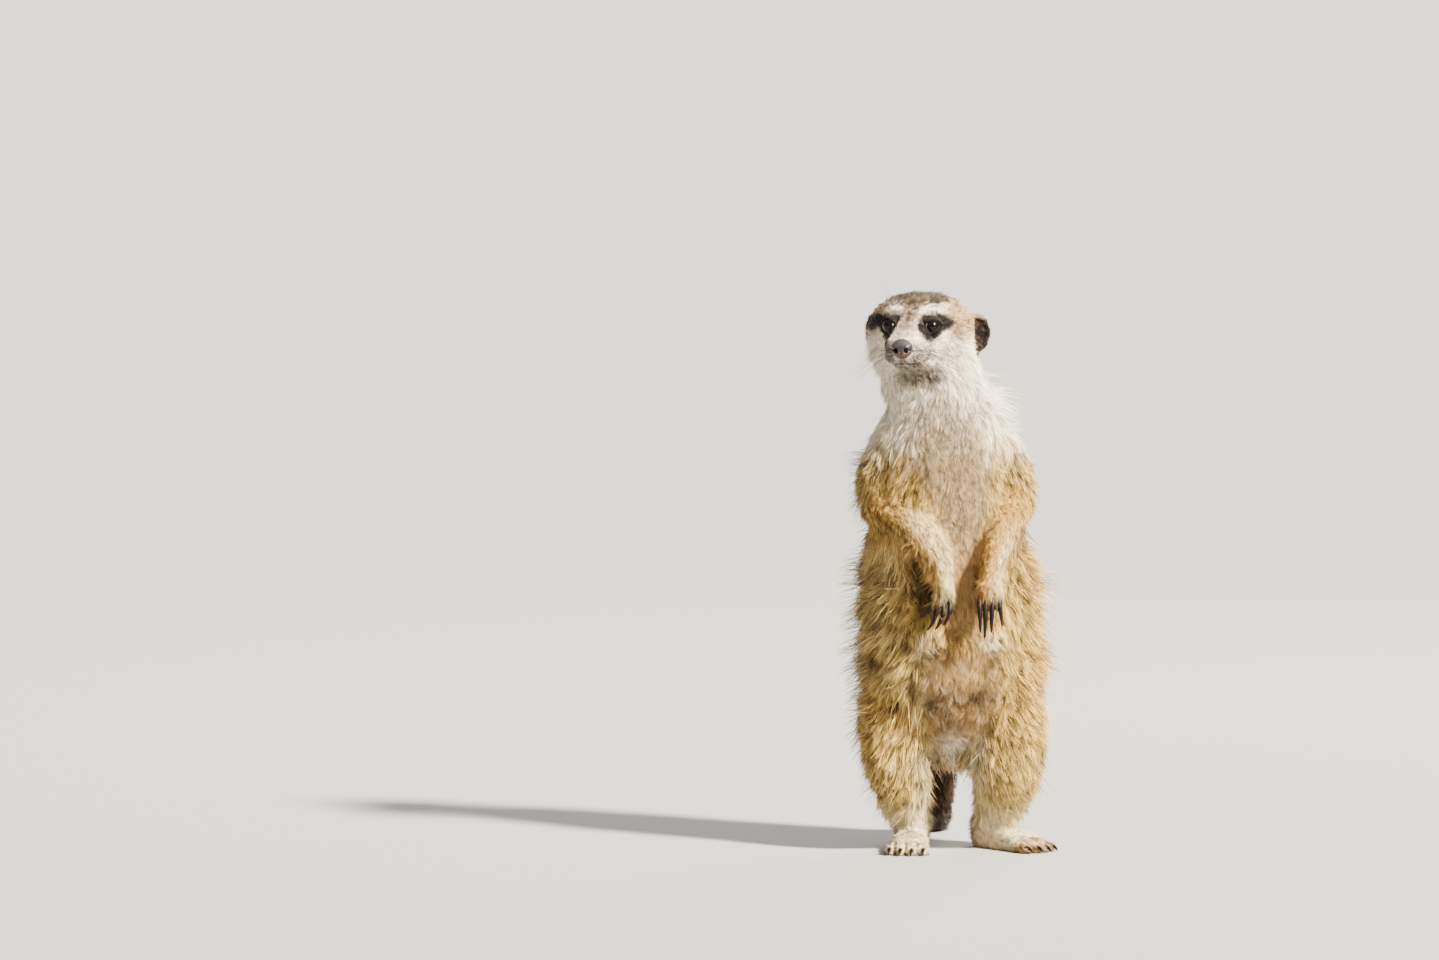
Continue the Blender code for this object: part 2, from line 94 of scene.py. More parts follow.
# Lines down the middle of the arms and the tail, which the coat follows.
ARM_LINE = {
    "right": ((-37, -4, 200), (-36, -6, 184), (-19, -27, 174), (-5.4, -39, 156), (-5, -42, 137)),
    "left": (
        (34.5, -4, 200), (34.5, -5, 184), (26.5, -28, 170), (21.8, -40, 152), (20.6, -43, 139),
    ),
}
TAIL_LINE = (
    (0, 24, 80), (-1.5, 54, 48), (-3.5, 80, 13), (-7, 124, 5), (-12, 192, 3), (-13, 210, 2),
)
FOOT_TURN = {"right": math.radians(-6), "left": math.radians(42)}


# --- Places ----------------------------------------------------------------------------


def in_head(points):
    """Points of the head, (left, forward, up) from its middle, in the body's frame."""
    points = np.atleast_2d(points)
    c, s = math.cos(HEAD_TURN), math.sin(HEAD_TURN)
    x = points[:, 0] * c - points[:, 1] * s
    y = -points[:, 1] * c - points[:, 0] * s
    return np.stack([x, y, points[:, 2]], 1) + HEAD_CENTRE


def on_side(place, sign):
    """A place of the head, its left counted outward, on one side of it."""
    return in_head(place * np.array((sign, 1, 1)))[0]


def head_frame(points):
    """The head's own left, forward and up of points in the body's frame."""
    c, s = math.cos(HEAD_TURN), math.sin(HEAD_TURN)
    x, y, z = (points - HEAD_CENTRE).T
    return np.stack([x * c - y * s, -x * s - y * c, z], 1)


def turned_from_head(vectors):
    return in_head(vectors) - HEAD_CENTRE


low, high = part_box("eye_left")
OFFSET = np.array((low + high) * 500) - in_head(EYE_CENTRE)[0]


def to_mm(points):
    return points * 1000 - OFFSET


def to_row(points):
    return (points + OFFSET) / 1000


def claw_corners(name):
    """A claw's corners, its long way from root to tip, and its root."""
    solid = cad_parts[name].data
    corners = np.unique(np.round(to_mm(np.array([vert.co for vert in solid.vertices])), 3), axis=0)
    centre = corners.mean(0)
    way = np.linalg.svd(corners - centre)[2][0]
    paw = ("hand_" if "front" in name else "foot_") + ("right" if "right" in name else "left")
    low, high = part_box(paw)
    middle = to_mm(np.array((low + high) / 2))
    t = (corners - centre) @ way
    ends = corners[t.argmin()], corners[t.argmax()]
    if np.linalg.norm(ends[1] - middle) < np.linalg.norm(ends[0] - middle):
        way, ends = -way, ends[::-1]
    return corners, way, ends[0]


def foot_ahead(side):
    return np.array((math.sin(FOOT_TURN[side]), -math.cos(FOOT_TURN[side]), 0.0))


def toe_gaps():
    """Between each two neighbouring claws of a paw: the middle, the way ahead and across."""
    gaps = []
    for kind in ("hind_claw_", "front_claw_"):
        for side in SIDES:
            names = sorted(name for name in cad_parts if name.startswith(kind + side))
            roots = np.array([claw_corners(name)[2] for name in names])
            across = roots[-1] - roots[0]
            across /= np.linalg.norm(across)
            ahead = foot_ahead(side) if kind == "hind_claw_" else np.array((0.0, -0.15, -1.0))
            for first, second in zip(roots, roots[1:]):
                gaps.append(((first + second) / 2, ahead, across))
    return gaps


TOE_GAPS = toe_gaps()


def toe_groove(points):
    """How deep in a gap between two toes or fingers each point is, 0 to 1."""
    total = np.zeros(len(points))
    for middle, ahead, across in TOE_GAPS:
        gap = points - middle
        along = gap @ ahead
        off = gap @ across
        near = ramp(along, -9.0, -3.5) * (np.linalg.norm(gap, axis=1) < 13)
        total = np.maximum(total, hill(off / 0.75) * near)
    return total


# --- Small tools -----------------------------------------------------------------------


def ramp(value, start, end):
    """Rises smoothly from 0 at start to 1 at end."""
    t = np.clip((value - start) / (end - start), 0, 1)
    return t * t * (3 - 2 * t)


def unit(vectors):
    return vectors / np.maximum(np.linalg.norm(vectors, axis=1, keepdims=True), 1e-9)


def tint(red, green, blue):
    """A linear colour from the usual 0 to 255 steps, deepened as the picture softens contrast."""
    steps = np.array((red, green, blue)) / 255
    linear = np.where(steps <= 0.04045, steps / 12.92, ((steps + 0.055) / 1.055) ** 2.4) ** 1.6
    return linear * (linear @ (0.21, 0.72, 0.07)) ** 0.26


def mixed(under, over, share):
    return under + (np.asarray(over) - under) * np.asarray(share)[:, None]


def hill(*offsets):
    """A soft bump, 1 where every offset is 0."""
    return np.exp(-sum(offset**2 for offset in offsets))


class Paint:
    """A colour for each point, built up layer by layer."""

    def __init__(self, points, ground):
        self.colour = np.repeat(tint(*ground)[None], len(points), 0)

    def __call__(self, over, share):
        over = over if isinstance(over, np.ndarray) else tint(*over)
        self.colour = mixed(self.colour, over, share)


def waves(points, size, seed, squeeze=1):
    """Smooth noise from -1 to 1, its features about size across, longer where squeezed."""
    rng = np.random.default_rng(seed)
    points = points * np.array(squeeze)
    total = np.zeros(len(points))
    for _ in range(7):
        way = rng.normal(size=3)
        way *= 2 * math.pi / size * rng.uniform(0.6, 1.5) / np.linalg.norm(way)
        total += np.sin(points @ way + rng.uniform(0, 6.28))
    return np.clip(total / 3.2, -1, 1)


def mesh_of(name, points, faces):
    """A triangle mesh from points in millimetres."""
    mesh = bpy.data.meshes.new(name)
    mesh.vertices.add(len(points))
    mesh.vertices.foreach_set("co", to_row(points).astype(np.float32).ravel())
    mesh.loops.add(faces.size)
    mesh.loops.foreach_set("vertex_index", faces.astype(np.int32).ravel())
    mesh.polygons.add(len(faces))
    mesh.polygons.foreach_set("loop_start", np.arange(0, faces.size, 3, dtype=np.int32))
    mesh.update(calc_edges=True)
    mesh.polygons.foreach_set("use_smooth", np.ones(len(faces), bool))
    return mesh


def painted(name, points, faces, colours, material):
    """A piece of the model, its colours kept at its points."""
    mesh = mesh_of(name, points, faces)
    layer = mesh.color_attributes.new("marking", "FLOAT_COLOR", "POINT")
    rgba = np.concatenate([np.clip(colours, 0, 1), np.ones((len(colours), 1))], 1)
    layer.data.foreach_set("color", rgba.astype(np.float32).ravel())
    return placed(name, mesh, material)


def placed(name, mesh, material):
    obj = bpy.data.objects.new(name, mesh)
    bpy.context.scene.collection.objects.link(obj)
    mesh.materials.append(material)
    return obj


def face_outward(mesh):
    bm = bmesh.new()
    bm.from_mesh(mesh)
    bmesh.ops.recalc_face_normals(bm, faces=bm.faces)
    bm.to_mesh(mesh)
    bm.free()


def arrays_of(mesh):
    """The points and triangles of a mesh."""
    mesh.calc_loop_triangles()
    points = np.empty(len(mesh.vertices) * 3, np.float32)
    mesh.vertices.foreach_get("co", points)
    faces = np.empty(len(mesh.loop_triangles) * 3, np.int32)
    mesh.loop_triangles.foreach_get("vertices", faces)
    return points.reshape(-1, 3).astype(float), faces.reshape(-1, 3)


def edges_of(faces):
    pairs = np.concatenate([faces[:, [0, 1]], faces[:, [1, 2]], faces[:, [2, 0]]])
    return np.unique(np.sort(pairs, axis=1), axis=0)


def smoothed(field, edges, times):
    """Each value moves towards its neighbours' mean, times over."""
    start, end = edges.T
    count = len(field)
    flat = field.reshape(count, -1).copy()
    around = np.maximum(np.bincount(start, minlength=count) + np.bincount(end, minlength=count), 1)
    for _ in range(times):
        for column in range(flat.shape[1]):
            values = flat[:, column]
            near = np.bincount(start, values[end], count) + np.bincount(end, values[start], count)
            flat[:, column] = values + 0.5 * (near / around - values)
    return flat.reshape(field.shape)


def normals_of(points, faces):
    a, b, c = (points[faces[:, k]] for k in range(3))
    across = np.cross(b - a, c - a)
    total = np.zeros_like(points)
    for k in range(3):
        for axis in range(3):
            total[:, axis] += np.bincount(faces[:, k], across[:, axis], len(points))
    return unit(total)


def largest_part(points, faces):
    """Leaves out everything but the biggest connected surface."""
    start, end = edges_of(faces).T
    group = np.arange(len(points))
    while True:
        lower = group.copy()
        np.minimum.at(lower, start, group[end])
        np.minimum.at(lower, end, group[start])
        lower = lower[lower]
        if (lower == group).all():
            break
        group = lower
    keep = group == np.bincount(group).argmax()
    index = np.cumsum(keep) - 1
    return points[keep], index[faces[keep[faces].all(1)]]


# --- Materials -------------------------------------------------------------------------


def set_inputs(node, **values):
    for key, value in values.items():
        node.inputs[key.replace("_", " ")].default_value = value


def add_bump(tree, shader, height, invert=False, **inputs):
    bump = tree.nodes.new("ShaderNodeBump")
    bump.invert = invert
    set_inputs(bump, **inputs)
    tree.links.new(height, bump.inputs["Height"])
    tree.links.new(bump.outputs["Normal"], shader.inputs["Normal"])


def new_material(name, scale, shades, detail=3.0, **inputs):
    """A shader coloured by the painted markings, made darker and lighter by fine noise."""
    material = bpy.data.materials.new("meerkat_" + name)
    material.use_nodes = True
    tree = material.node_tree
    nodes, links = tree.nodes, tree.links
    shader = nodes["Principled BSDF"]
    set_inputs(shader, **inputs)
    marking = nodes.new("ShaderNodeAttribute")
    marking.attribute_name = "marking"
    place = nodes.new("ShaderNodeTexCoord").outputs["Object"]
    noise = nodes.new("ShaderNodeTexNoise")
    set_inputs(noise, Scale=scale, Detail=detail, Roughness=0.6)
    links.new(place, noise.inputs["Vector"])
    span = nodes.new("ShaderNodeMapRange")
    set_inputs(span, From_Min=0.3, From_Max=0.7, To_Min=shades[0], To_Max=shades[1])
    links.new(noise.outputs["Fac"], span.inputs["Value"])
    varied = nodes.new("ShaderNodeVectorMath")
    varied.operation = "SCALE"
    links.new(marking.outputs["Color"], varied.inputs["Vector"])
    links.new(span.outputs["Result"], varied.inputs["Scale"])
    links.new(varied.outputs["Vector"], shader.inputs["Base Color"])
    return material, tree, shader, noise.outputs["Fac"], place


def coat_material():
    look = {"Specular_IOR_Level": 0.12, "Sheen_Weight": 0.04, "Sheen_Roughness": 0.45}
    return new_material("coat", 700, (0.86, 1.14), Roughness=0.62, **look)[0]


def skin_material():
    look = {"Roughness": 0.72, "Specular_IOR_Level": 0.1}
    material, tree, shader, fine, _ = new_material("skin", 1600, (0.78, 1.16), 4.0, **look)
    add_bump(tree, shader, fine, Strength=0.5, Distance=0.0004)
    return material


def nose_material():
    material, tree, shader, _, place = new_material("nose", 900, (0.75, 1.2), Roughness=0.42)
    pebbles = tree.nodes.new("ShaderNodeTexVoronoi")
    set_inputs(pebbles, Scale=1700)
    tree.links.new(place, pebbles.inputs["Vector"])
    add_bump(tree, shader, pebbles.outputs["Distance"], True, Strength=0.35, Distance=0.0002)
    return material


def claw_material():
    look = {"Roughness": 0.42, "Specular_IOR_Level": 0.16}
    material, tree, shader, streaks, _ = new_material("claw", 500, (0.8, 1.25), 2.0, **look)
    add_bump(tree, shader, streaks, Strength=0.2, Distance=0.0002)
    return material


def eye_material():
    wet = {"Coat_Weight": 0.45, "Coat_Roughness": 0.02, "Coat_IOR": 1.4}
    look = {"Roughness": 0.3, "Specular_IOR_Level": 0.05}
    return new_material("eye", 2600, (0.7, 1.3), **look, **wet)[0]


def whisker_material():
    return new_material("whisker", 300, (0.85, 1.15), Roughness=0.4)[0]


# --- Markings and painted shade --------------------------------------------------------

WHITE = (254, 245, 226)
CREAM = (248, 221, 162)
BUFF = (242, 200, 130)
DARK_BROWN = (100, 76, 58)
CHARCOAL = (60, 50, 45)
CHEST = (200, 184, 158)
BARE = (190, 162, 126)
EAR = (78, 64, 54)
TAIL_BROWN = (108, 80, 50)
TAIL_ORANGE = (144, 112, 76)
# Drifts in the thin coat low on the belly: across, height, half sizes, colour, strength.
BELLY_DRIFTS = (
    (-9.5, 109, 7, 7, (90, 78, 68), 0.95),
    (15, 87, 10, 7, (92, 82, 74), 0.92),
    (-8, 83, 8, 8, (104, 92, 82), 0.88),
    (6, 73, 14, 5, (118, 104, 92), 0.5),
    (22, 108, 5, 7, (90, 78, 68), 0.92),
    (-14, 119, 5, 5, WHITE, 0.8),
    (21, 118, 5, 5, WHITE, 0.7),
    (12, 98, 8, 3, CREAM, 0.45),
    (-2, 96, 4, 3, CREAM, 0.3),
)
# Painted shade in the gaps between the ruffs of the right flank: across, height, half sizes.
FLANK_SHADE_GAPS = ((-36, 173, 9, 4), (-41, 146, 6, 6.5), (-33, 127, 10, 4), (-38, 107, 7, 5))
LIP = (-14.2, -15.9, -16.8, -17.0, -16.6)


def lip_at(forward):
    """The height of the mouth's line at a distance forward in the head."""
    return np.interp(forward, (20, 27, 33, 38, 42), LIP)


def across_ear(side, forward):
    """How far across the ear's own plane, and how far in front of it, from its centre."""
    c, s = math.cos(EAR_SWEEP), math.sin(EAR_SWEEP)
    away, ahead = side - EAR_CENTRE[0], forward - EAR_CENTRE[1]
    return away * c - ahead * s, away * s + ahead * c


def eye_patch(head):
    """How far inside the dark patch round an eye each point is, 0 to 1."""
    left, forward, up = head.T
    side = np.abs(left)
    right = left < 0
    across = (side - EYE_CENTRE[0]) * 0.974 - (forward - EYE_CENTRE[1]) * 0.225 - 0.8
    height = up - EYE_CENTRE[2]
    wobble = waves(head, 2.4, 11) * 0.5 + waves(head, 0.8, 12, (0.6, 0.6, 1)) * 0.5
    # On the right the patch runs further back and reaches lower than on the left: partly dark fur,
    # partly painted shade of that side and of the eye's socket.
    top = np.where(
        right,
        np.interp(across, (-9.3, -5, 2.4, 7.9, 12, 23), (2.6, 6.4, 6.6, 5.6, 4.8, 4.2)),
        np.interp(across, (-9.3, -5, 2.4, 7.9, 11.5), (2.8, 7.4, 7.6, 5.4, 1.6)),
    )
    bottom = np.where(
        right,
        np.interp(
            across,
            (-9.3, -6, -3.6, 0, 2.6, 4.6, 8, 13, 23),
            (-1.2, -7.0, -12.6, -14.0, -10.2, -4, -1.2, -4.0, -5.6),
        ),
        np.interp(across, (-9.3, -5.5, -1.2, 1.2, 4.3, 11.5), (-1.4, -6.0, -8.8, -7.4, -3.6, 0.0)),
    )
    inside = ramp(top - height + wobble, -1.7, 1.5) * ramp(height - bottom + wobble, -1.7, 1.5)
    outer = np.where(right, ramp(across, 21, 16), ramp(11.8 - across, -1.6, 1.6))
    on_face = np.where(right, forward > -16, forward > 2)
    inside = inside * ramp(across + 9.2, -1.2, 1.0) * outer * on_face
    return inside, across, height


def chin_band_and_shade(points):
    """The brown band under the chin, 0 to 1: partly the fur's own brown, partly painted shade."""
    x, y, z = points.T
    rough = waves(points, 5.0, 73)
    band = ramp(np.abs(z - 256.8 + 1.2 * rough), 7.0, 3.2) * ramp(np.abs(x + 16), 15, 9)
    return band * ramp(y, -22, -28) * (0.8 + 0.2 * rough)


def head_marking(points):
    head = head_frame(points)
    left, forward, up = head.T
    side = np.abs(left)
    rough = waves(points, 4.0, 3)
    streaks = waves(head, 1.8, 53, (1, 0.45, 0.8))
    fleck = waves(points, 1.3, 29)
    paint = Paint(points, WHITE)
    temple = ramp(side, 13, 19) * ramp(up, -7, 1) * ramp(forward, 18, 8)
    paint((190, 156, 112), temple * (0.82 + 0.18 * streaks))
    paint((124, 96, 66), temple * ramp(streaks, 0.1, 0.7) * ramp(up, -3, 3) * 0.75)
    nape = ramp(forward, -8, -20) * ramp(up, -26, -12)
    paint((188, 158, 116), nape)
    line = 13.0 + 1.2 * rough - 2.6 * ramp(side, 5, 0) * ramp(forward, 10, 22)
    crown = ramp(up, line - 1.4, line + 1.4) * ramp(side, 23, 15)
    strands = waves(head, 3.2, 55, (1, 0.3, 0.6))
    paint((100, 84, 70), crown)
    paint((56, 44, 36), crown * ramp(strands, -0.2, 0.4) * 0.85)
    paint((190, 170, 144), crown * ramp(strands, -0.3, -0.8) * 0.45)
    edge = hill((up - line - 0.6) / 1.6) * ramp(side, 1, 4) * ramp(side, 18, 13)
    paint((84, 64, 48), edge * (0.7 + 0.2 * streaks) * (forward > -4))
    blaze = ramp(side, 6.2, 2.8) * ramp(up, -3.0, 2.5) * (forward > 6)
    paint((170, 144, 114), blaze * (0.8 + 0.2 * rough) * (1 - 0.85 * crown))
    wedge = ramp(np.abs(left - 0.5), 4.2, 1.4) * ramp(up, 1.0, 6.5) * (forward > 6)
    paint((92, 72, 56), wedge * ramp(streaks, -0.6, 0.2) * 0.95)
    muzzle = ramp(forward, 20, 29)
    bridge = ramp(forward, 16, 26) * ramp(side, 7, 3) * ramp(up, -10, -6) * ramp(up, 4, -1)
    paint((196, 182, 170), bridge * (0.6 + 0.3 * fleck))
    freckles = ramp(waves(points, 1.4, 23), 0.1, 0.55)
    whisker_bed = muzzle * ramp(side, 3.6, 6.0) * ramp(up, -5, -8.0) * ramp(up, -22, -18)
    paint((190, 178, 168), whisker_bed * 0.6)
    paint((62, 54, 50), whisker_bed * freckles * 0.9)
    dashes = ramp(waves(head, 1.2, 85, (1.0, 0.5, 1.3)), 0.1, 0.5)
    pad = ramp(forward, 15, 23) * ramp(side, 3.6, 6) * ramp(side, 17, 13)
    dashes *= pad * ramp(up, -3.5, -6) * ramp(up, -16.5, -13)
    paint((96, 86, 82), dashes * 0.75)
    beside = ramp(forward, 31, 36) * ramp(side, 3, 5) * ramp(up, -3, -7) * ramp(up, -19, -16)
    paint((104, 96, 90), beside * (0.45 + 0.4 * fleck))
    face_fleck = ramp(fleck, 0.25, 0.7) * (1 - whisker_bed) * ramp(forward, -4, 10)
    paint((168, 148, 128), face_fleck * 0.65)
    lip = lip_at(forward)
    mouth = hill((up - lip) / 1.15) * ramp(forward, 15, 22) * (0.85 + 0.15 * rough)
    paint((44, 36, 33), mouth)
    under_nose = ramp(forward, 35, 40) * ramp(up, -9, -12) * hill(side / 3.8) * ramp(up, -18, -16)
    paint((98, 80, 74), under_nose * 0.75)
    # Painted shade: a darker band under the lower lip.
    shade_under_lip = ramp(forward, 22, 30) * ramp(lip - up, 0.4, 1.4) * ramp(lip - up, 6.0, 3.0)
    paint((120, 106, 96), shade_under_lip * (0.5 + 0.4 * fleck))
    patch, across, height = eye_patch(head)
    smudge = hill((across - 11.8) / 3.2, (height + 2.5) / 3.2) * (left > 0)
    paint((158, 120, 78), smudge * (0.6 + 0.3 * streaks))
    # Brown band under the chin: partly the fur's own brown, partly painted shade.
    paint((116, 88, 64), chin_band_and_shade(points) * 0.95)
    wide, _ = across_ear(side, forward)
    bowl = 1 - (wide / 8.8) ** 2 - ((up - EAR_CENTRE[2] + 1.6) / 10.4) ** 2
    bowl = ramp(bowl, 0.0, 0.25) * ramp(side, 19.5, 21.5) * (forward < -8) * (forward > -24)
    paint(EAR, bowl)
    tone = Paint(points, CHARCOAL)
    tone((86, 66, 54), ramp(across, 8, 13) * (left < 0))
    tone((112, 98, 88), ramp(streaks, 0.0, 0.7) * 0.6)
    for sign in (-1, 1):
        gap, size, _ = lid_gap(points, sign)
        ring = ramp(gap, 0.3, 1.0) * ramp(gap, 3.8, 2.0) * (size < 8.5)
        tone((108, 98, 92), ring * 0.8)
    paint(tone.colour, patch)
    return paint.colour, (0.07 * crown + 0.5 * nape + 0.45 * temple) * (1 - patch) * (1 - bowl)


def ear_marking(points):
    head = head_frame(points)
    side = np.abs(head[:, 0]) - EAR_CENTRE[0]
    up = head[:, 2] - EAR_CENTRE[2]
    rim = ramp(up + 0.30 * side, 8.0, 9.8)
    front = ramp(head[:, 1] - EAR_CENTRE[1], 4.5, 7.0)
    paint = Paint(points, EAR)
    paint((44, 36, 31), ramp(waves(points, 3.0, 57), 0, 0.8) * 0.7)
    paint((214, 200, 184), rim * 0.8)
    paint((222, 208, 188), front * ramp(side, -4, -6.5) * ramp(up, -4, 0) * 0.9)
    paint((150, 128, 108), ramp(waves(points, 2.0, 79), 0.1, 0.7) * 0.6)
    return paint.colour, np.full(len(points), 0.03)


def trunk_marking(points):
    """Neck, chest, belly and back."""
    x, y, z = points.T
    rough = waves(points, 7.0, 5)
    fine = waves(points, 3.0, 6)
    behind = ramp(y, -4, 14)
    paint = Paint(points, BUFF)
    back = behind * ramp(z, 250, 232)
    paint((168, 146, 122), back * 0.88)
    bands = ramp(np.sin(z * 2 * math.pi / 15 + 0.6 * rough), 0.15, 0.75)
    saddle = ramp(z, 182, 168) * ramp(z, 58, 74) * ramp(y, 14, 26)
    paint((88, 70, 58), bands * saddle * 0.75)
    nape = ramp(z, 228, 240) * ramp(y, -2, 10)
    paint((186, 158, 122), nape)
    drape = waves(points, 6.0, 81, (1, 1, 0.4))
    pale = ramp(z + 5 * rough + 6 * drape + 0.10 * np.abs(x + 4), 203, 232)
    pale = pale * ramp(y + 5 * drape, 16, -4)
    paint(WHITE, pale)
    # Brown band under the chin: partly the fur's own brown, partly painted shade.
    paint((116, 88, 64), chin_band_and_shade(points) * 0.95)
    front = ramp(y, -4, -14)
    middle = np.interp(z, (120, 150, 173, 196, 219, 235, 244), (8, 9.6, 7.9, 3.8, -0.9, -4.3, -6))
    half = np.interp(
        z,
        (118, 150, 161, 173, 185, 208, 219, 235, 244, 248),
        (3, 5.8, 8.1, 12.1, 15, 19.5, 19, 15, 9, 3),
    )
    streaks = waves(points, 3.0, 61, (1, 1, 0.35))
    bib = ramp(half - np.abs(x - middle) + 3.0 * streaks + 1.5 * rough, -4.5, 4.5)
    bib = bib * ramp(z + 5 * streaks, 252, 241) * ramp(z, 136, 158) * front
    pale = pale * (1 - bib)
    paint(CHEST, bib * (0.88 + 0.12 * fine))
    paint((150, 130, 110), bib * ramp(streaks, 0.2, 0.8) * ramp(z, 240, 215) * 0.6)
    paint((232, 222, 208), bib * ramp(z + 4 * streaks, 226, 240) * ramp(fine, 0.0, 0.6) * 0.8)
    seam = hill((x - middle - 1) / 2.2) * ramp(z, 182, 166) * ramp(z, 116, 128) * front
    paint((226, 202, 160), seam * 0.8)
    between = front * ramp(np.abs(x - 8 + 2 * rough), 13, 8) * ramp(z, 172, 160) * ramp(z, 112, 124)
    paint((222, 192, 150), between * 0.85)
    low = ramp(19.5 + 3 * rough - np.abs(x - 6), -4, 4) * ramp(z + 4 * rough, 118, 108)
    low = low * ramp(z, 50, 62) * front
    paint(BARE, low * (0.85 + 0.15 * rough))
    paint((118, 98, 82), low * ramp(waves(points, 9.0, 63), 0.0, 0.6) * 0.4)
    wisps = ramp(waves(points, 7.0, 9, (1, 1, 0.6)), 0.25, 0.65)
    paint((250, 238, 216), low * wisps * 0.2)
    side_cream = front * (1 - np.maximum(np.maximum(bib, between), low)) * ramp(z, 222, 206)
    paint(CREAM, side_cream * 0.3)
    thin = np.zeros(len(points))
    for at_x, at_z, wide, tall, tone, share in BELLY_DRIFTS:
        near = hill((x - at_x + 2.5 * rough) / wide, (z - at_z + 2.5 * fine) / tall)
        drift = front * near * share
        paint(tone, drift)
        thin = np.maximum(thin, drift)
    ruffs = ramp(x, -18, -28) * ramp(z, 184, 172) * ramp(z, 84, 98) * ramp(y, 16, 0)
    paint((250, 224, 176), ruffs * 0.75)
    # Painted shade: dark gaps between the ruffs of the right flank.
    gaps = np.zeros(len(points))
    for at_x, at_z, wide, tall in FLANK_SHADE_GAPS:
        across = x - at_x + rough
        gap = hill(across / wide, (z - at_z - 0.45 * across + 1.5 * fine) / tall)
        gaps = np.maximum(gaps, gap * ramp(y, 24, 10))
    paint((52, 38, 30), gaps * 0.94)
    # Painted shadow of the forearms: a dark band down the flank and belly beside the right forearm,
    # and a narrow dark line beside the left one.
    arm_shadow_x = np.interp(z, (131, 139, 152, 165, 174, 183), (-10, -12, -16.5, -18, -26, -36))
    fold = ramp(np.abs(x - arm_shadow_x + rough), 8.5, 3.6)
    fold = fold * ramp(z, 186, 176) * ramp(z, 124, 136) * ramp(y, 4, -6)
    left_arm_shadow = ramp(np.abs(x - 14.5), 3.2, 1.0) * ramp(z, 162, 154) * ramp(z, 126, 134)
    fold = np.maximum(fold, left_arm_shadow * front * 0.8)
    paint((66, 48, 38), fold * 0.95)
    # Painted shade: the right flank's outer side, turned away from the key light, darker in
    # streaks.
    outer = ramp(x + 3 * rough, -37, -47) * ramp(z, 186, 168) * ramp(z, 46, 62)
    paint((110, 82, 60), outer * ramp(streaks, -0.2, 0.5) * 0.45)
    edge = hill((x + 17 + 1.5 * rough) / 4.5) * ramp(z, 66, 78) * ramp(z, 124, 114) * front
    paint((252, 232, 190), edge * 0.6)
    tuft = hill((x - 1) / 8, (z - 57) / 8) * ramp(y, 14, 0)
    paint(WHITE, tuft * 0.95)
    grizzle = 1.0 - pale - 0.9 * bib - 0.7 * low - 0.7 * thin - 0.7 * between - 0.6 * tuft
    grizzle = np.clip(grizzle - 0.85 * fold - 0.7 * gaps, 0.06, 1)
    return mottled(paint.colour, points, grizzle), grizzle


def mottled(colour, points, grizzle):
    """Darker and lighter drifts through the grizzled coat."""
    wide = waves(points, 16.0, 67)
    narrow = waves(points, 6.0, 69, (1, 1, 0.5))
    gaps = ramp(waves(points, 9.0, 75, (1, 1, 0.55)), 0.35, 0.8)
    return colour * np.exp((0.22 * wide + 0.30 * narrow - 0.70 * gaps) * grizzle)[:, None]


def off_arm_line(points):
    """How far across its forearm's own line each point is, outward to the animal's left."""
    x, _, z = points.T
    line_x = np.where(
        x < 8,
        np.interp(z, (137, 156, 174, 184, 200), (-5, -5.4, -19, -36, -37)),
        np.interp(z, (139, 152, 170, 184, 200), (20.6, 21.8, 26.5, 34.5, 34.5)),
    )
    return x - line_x


def arm_marking(points, upper):
    x, y, z = points.T
    rough = waves(points, 5.0, 13)
    right = x < 8
    edge = np.where(right, ramp(x + 3 * rough, -33, -17), ramp(z + 3 * rough, 188, 170))
    below = (1 - upper) * edge
    off = off_arm_line(points) + 1.5 * rough
    paint = Paint(points, BUFF)
    paint((204, 182, 150), upper * 0.75)
    drape = waves(points, 6.0, 81, (1, 1, 0.4))
    paint((140, 118, 96), upper * ramp(x + 2 * rough, -34, -42) * ramp(z, 194, 206) * 0.55)
    paint(WHITE, ramp(z + 4 * rough + 7 * drape, 198, 232) * 0.9)
    paint((252, 233, 190), below * 0.95)
    inner = ramp(off, np.where(right, 0.5, 3.0), np.where(right, -2.5, -1.5))
    gold = below * np.maximum(inner, ramp(off, 4.5, 8.0) * np.where(right, 0.2, 0.6))
    paint((238, 196, 112), gold * (0.8 + 0.2 * rough) * ramp(y, -10, -24))
    # Painted light: a golden glow down the outside of the left upper arm, the side towards the key
    # light.
    glow = hill((x - 31) / 7) * ramp(z, 166, 176) * ramp(z, 214, 202) * ~right
    paint((242, 190, 112), glow * (0.6 + 0.2 * rough))
    rust = below * ramp(off, 0.0, -3.5) * ramp(z, 172, 162) * np.where(right, 0.5, 1.0)
    paint((230, 184, 118), rust * (0.5 + 0.4 * rough))
    paint((232, 196, 130), below * ramp(y, -24, -14) * 0.5)
    paint(CREAM, ramp(y, -8, -18) * upper * 0.35)
    ticks = ramp(waves(points, 1.6, 71), 0.2, 0.55) * below * ramp(z, 146, 156)
    paint((112, 86, 58), ticks * 0.8)
    # Painted shade in the grooves between the fingers.
    paint((112, 82, 58), toe_groove(points) * below * 0.8)
    palm = below * ramp(z, 150, 141) * np.where(right, 0.6, 0.5)
    paint(np.where(right[:, None], tint(124, 96, 70), tint(176, 138, 96)), palm)
    hand = ramp(z, 160, 150)
    grizzle = np.clip(1 - 0.8 * below - 0.1 * hand - ramp(z, 206, 222), 0.08, 1)
    return mottled(paint.colour, points, grizzle), grizzle


